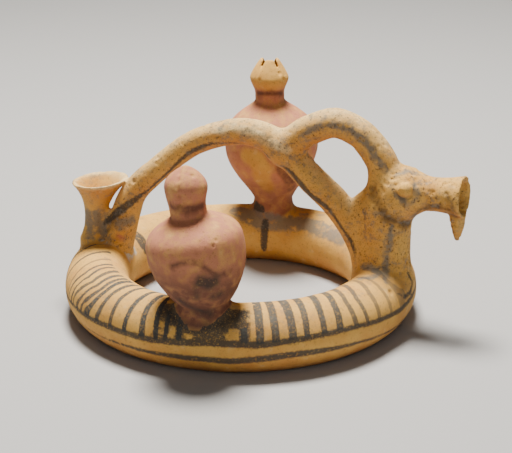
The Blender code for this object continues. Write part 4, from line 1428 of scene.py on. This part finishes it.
def addPaint(tree, noise, values, colour):
    # From the lowest coat up: grey wash, crust, stripes, dark paint, and sooty smudges with painted shadow and
    # shade
    wornPaint = makeWornPaint()
    ragged = addRange(tree, noise["grain"], 0.25, 0.75, -0.75, 0.75)
    raggedWide = addRange(tree, noise["patches"], 0.25, 0.75, -2.2, 2.2)
    wash = addWornPaint(tree, wornPaint, readLayer(tree, "grey_wash"), raggedWide, noise["patches"], 1.8, 0.15)
    colour = addMix(tree, addMath(tree, "MULTIPLY", wash, 0.80), colour, values["wash"])
    crust = addWornPaint(tree, wornPaint, readLayer(tree, "crust"), raggedWide, noise["patches"], 2.0, 0.0)
    colour = addMix(tree, addMath(tree, "MULTIPLY", crust, 0.80), colour, values["crust"])
    striped = tree.nodes.new("ShaderNodeGroup")
    striped.node_tree = makeStripes()
    for name, layer in (("Turn", "stripe_turn"), ("Scale", "stripe_scale"), ("Reach", "stripe_reach")):
        tree.links.new(readLayer(tree, layer), striped.inputs[name])
    tree.links.new(addRange(tree, noise["grain"], 0.25, 0.75, -0.40, 0.40), striped.inputs["Ragged"])
    thin = addRange(tree, noise["grain"], 0.68, 0.52, 0.50, 1.0)
    thin = addMath(tree, "MULTIPLY", striped.outputs["Coverage"], thin)
    colour = addMix(tree, thin, colour, values["paintThin"])
    dark = addWornPaint(tree, wornPaint, readLayer(tree, "dark_paint"), ragged, noise["grain"], 0.9, 0.02)
    darkTone = addMix(tree, addRange(tree, noise["patches"], 0.35, 0.65), values["paint"], values["paintThin"])
    colour = addMix(tree, addMath(tree, "MULTIPLY", dark, 0.92), colour, darkTone)
    # Sooty smudges together with the painted shadow and shade
    soot_and_shadow = addWornPaint(tree, wornPaint, readLayer(tree, "soot_and_shadow"), raggedWide, noise["grain"], 4.2, 0.0)
    return addMix(tree, addMath(tree, "MULTIPLY", soot_and_shadow, 0.85), colour, values["soot_and_shadow"])


def makeClay(values):
    material = bpy.data.materials.new("fired_clay_paint")
    material.use_nodes = True
    tree = material.node_tree
    shader = tree.nodes["Principled BSDF"]
    place = tree.nodes.new("ShaderNodeTexCoord").outputs["Object"]
    noise = {
        "broad": addNoise(tree, place, 17.0), "patches": addNoise(tree, place, 6.0, 4.0, 0.6),
        "grain": addNoise(tree, place, 1.5, 4.0, 0.65), "fine": addNoise(tree, place, 0.55, 2.0),
        "cloud": addNoise(tree, place, 3.6, 5.0, 0.7),
    }
    colour = addPaint(tree, noise, values, addClayColour(tree, noise, values))

    # Over it all: grey mottle, dirt in the specks and pores, and a little pale dust
    mottle = addMath(tree, "MULTIPLY", addRange(tree, noise["cloud"], 0.49, 0.63), readLayer(tree, "mottle"))
    mottle = addMath(tree, "MULTIPLY", mottle, addRange(tree, noise["broad"], 0.40, 0.58, 0.25, 0.90))
    colour = addMix(tree, mottle, colour, values["wash"])
    pitted = readLayer(tree, "pitted")
    specks = addMath(tree, "ADD", pitted, 0.25, clamp=True)
    specks = addMath(tree, "MULTIPLY", addRange(tree, noise["grain"], 0.585, 0.67), specks)
    colour = addMix(tree, addMath(tree, "MULTIPLY", specks, 0.85), colour, values["dirt"])
    pore = addMath(tree, "ADD", pitted, 0.2, clamp=True)
    pore = addMath(tree, "MULTIPLY", addRange(tree, noise["fine"], 0.60, 0.68, 0.0, 0.75), pore)
    colour = addMix(tree, pore, colour, values["dirt"])
    colour = addMix(tree, addRange(tree, noise["fine"], 0.33, 0.25, 0.0, 0.20), colour, values["pale"])
    tree.links.new(colour, shader.inputs["Base Color"])
    rough = addRange(tree, noise["grain"], 0.3, 0.7, values["rough"] - 0.08, values["rough"] + 0.06)
    tree.links.new(rough, shader.inputs["Roughness"])

    height = addMath(tree, "MULTIPLY", noise["grain"], 0.55)
    height = addMath(tree, "ADD", height, addMath(tree, "MULTIPLY", noise["fine"], 0.22))
    height = addMath(tree, "SUBTRACT", height, addMath(tree, "MULTIPLY", specks, 0.9))
    bump = tree.nodes.new("ShaderNodeBump")
    bump.inputs["Strength"].default_value = 0.55
    bump.inputs["Distance"].default_value = 0.0006
    tree.links.new(height, bump.inputs["Height"])
    tree.links.new(bump.outputs["Normal"], shader.inputs["Normal"])
    return material


vesselMesh.materials.append(makeClay(clay))
report("clay and paint")
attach(vessel, "root")
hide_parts("ring_vessel")


def countFaults(mesh):
    # A sound mesh has two faces at every edge.
    shape = bmesh.new()
    shape.from_mesh(mesh)
    faults = sum(len(edge.link_faces) != 2 for edge in shape.edges)
    triangles = sum(len(face.verts) - 2 for face in shape.faces)
    volume = shape.calc_volume() * 1e6
    shape.free()
    report("%d triangles, %d open or crowded edges, %.0f cubic cm of clay" % (triangles, faults, volume))


countFaults(vesselMesh)
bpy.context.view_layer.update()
report("done")
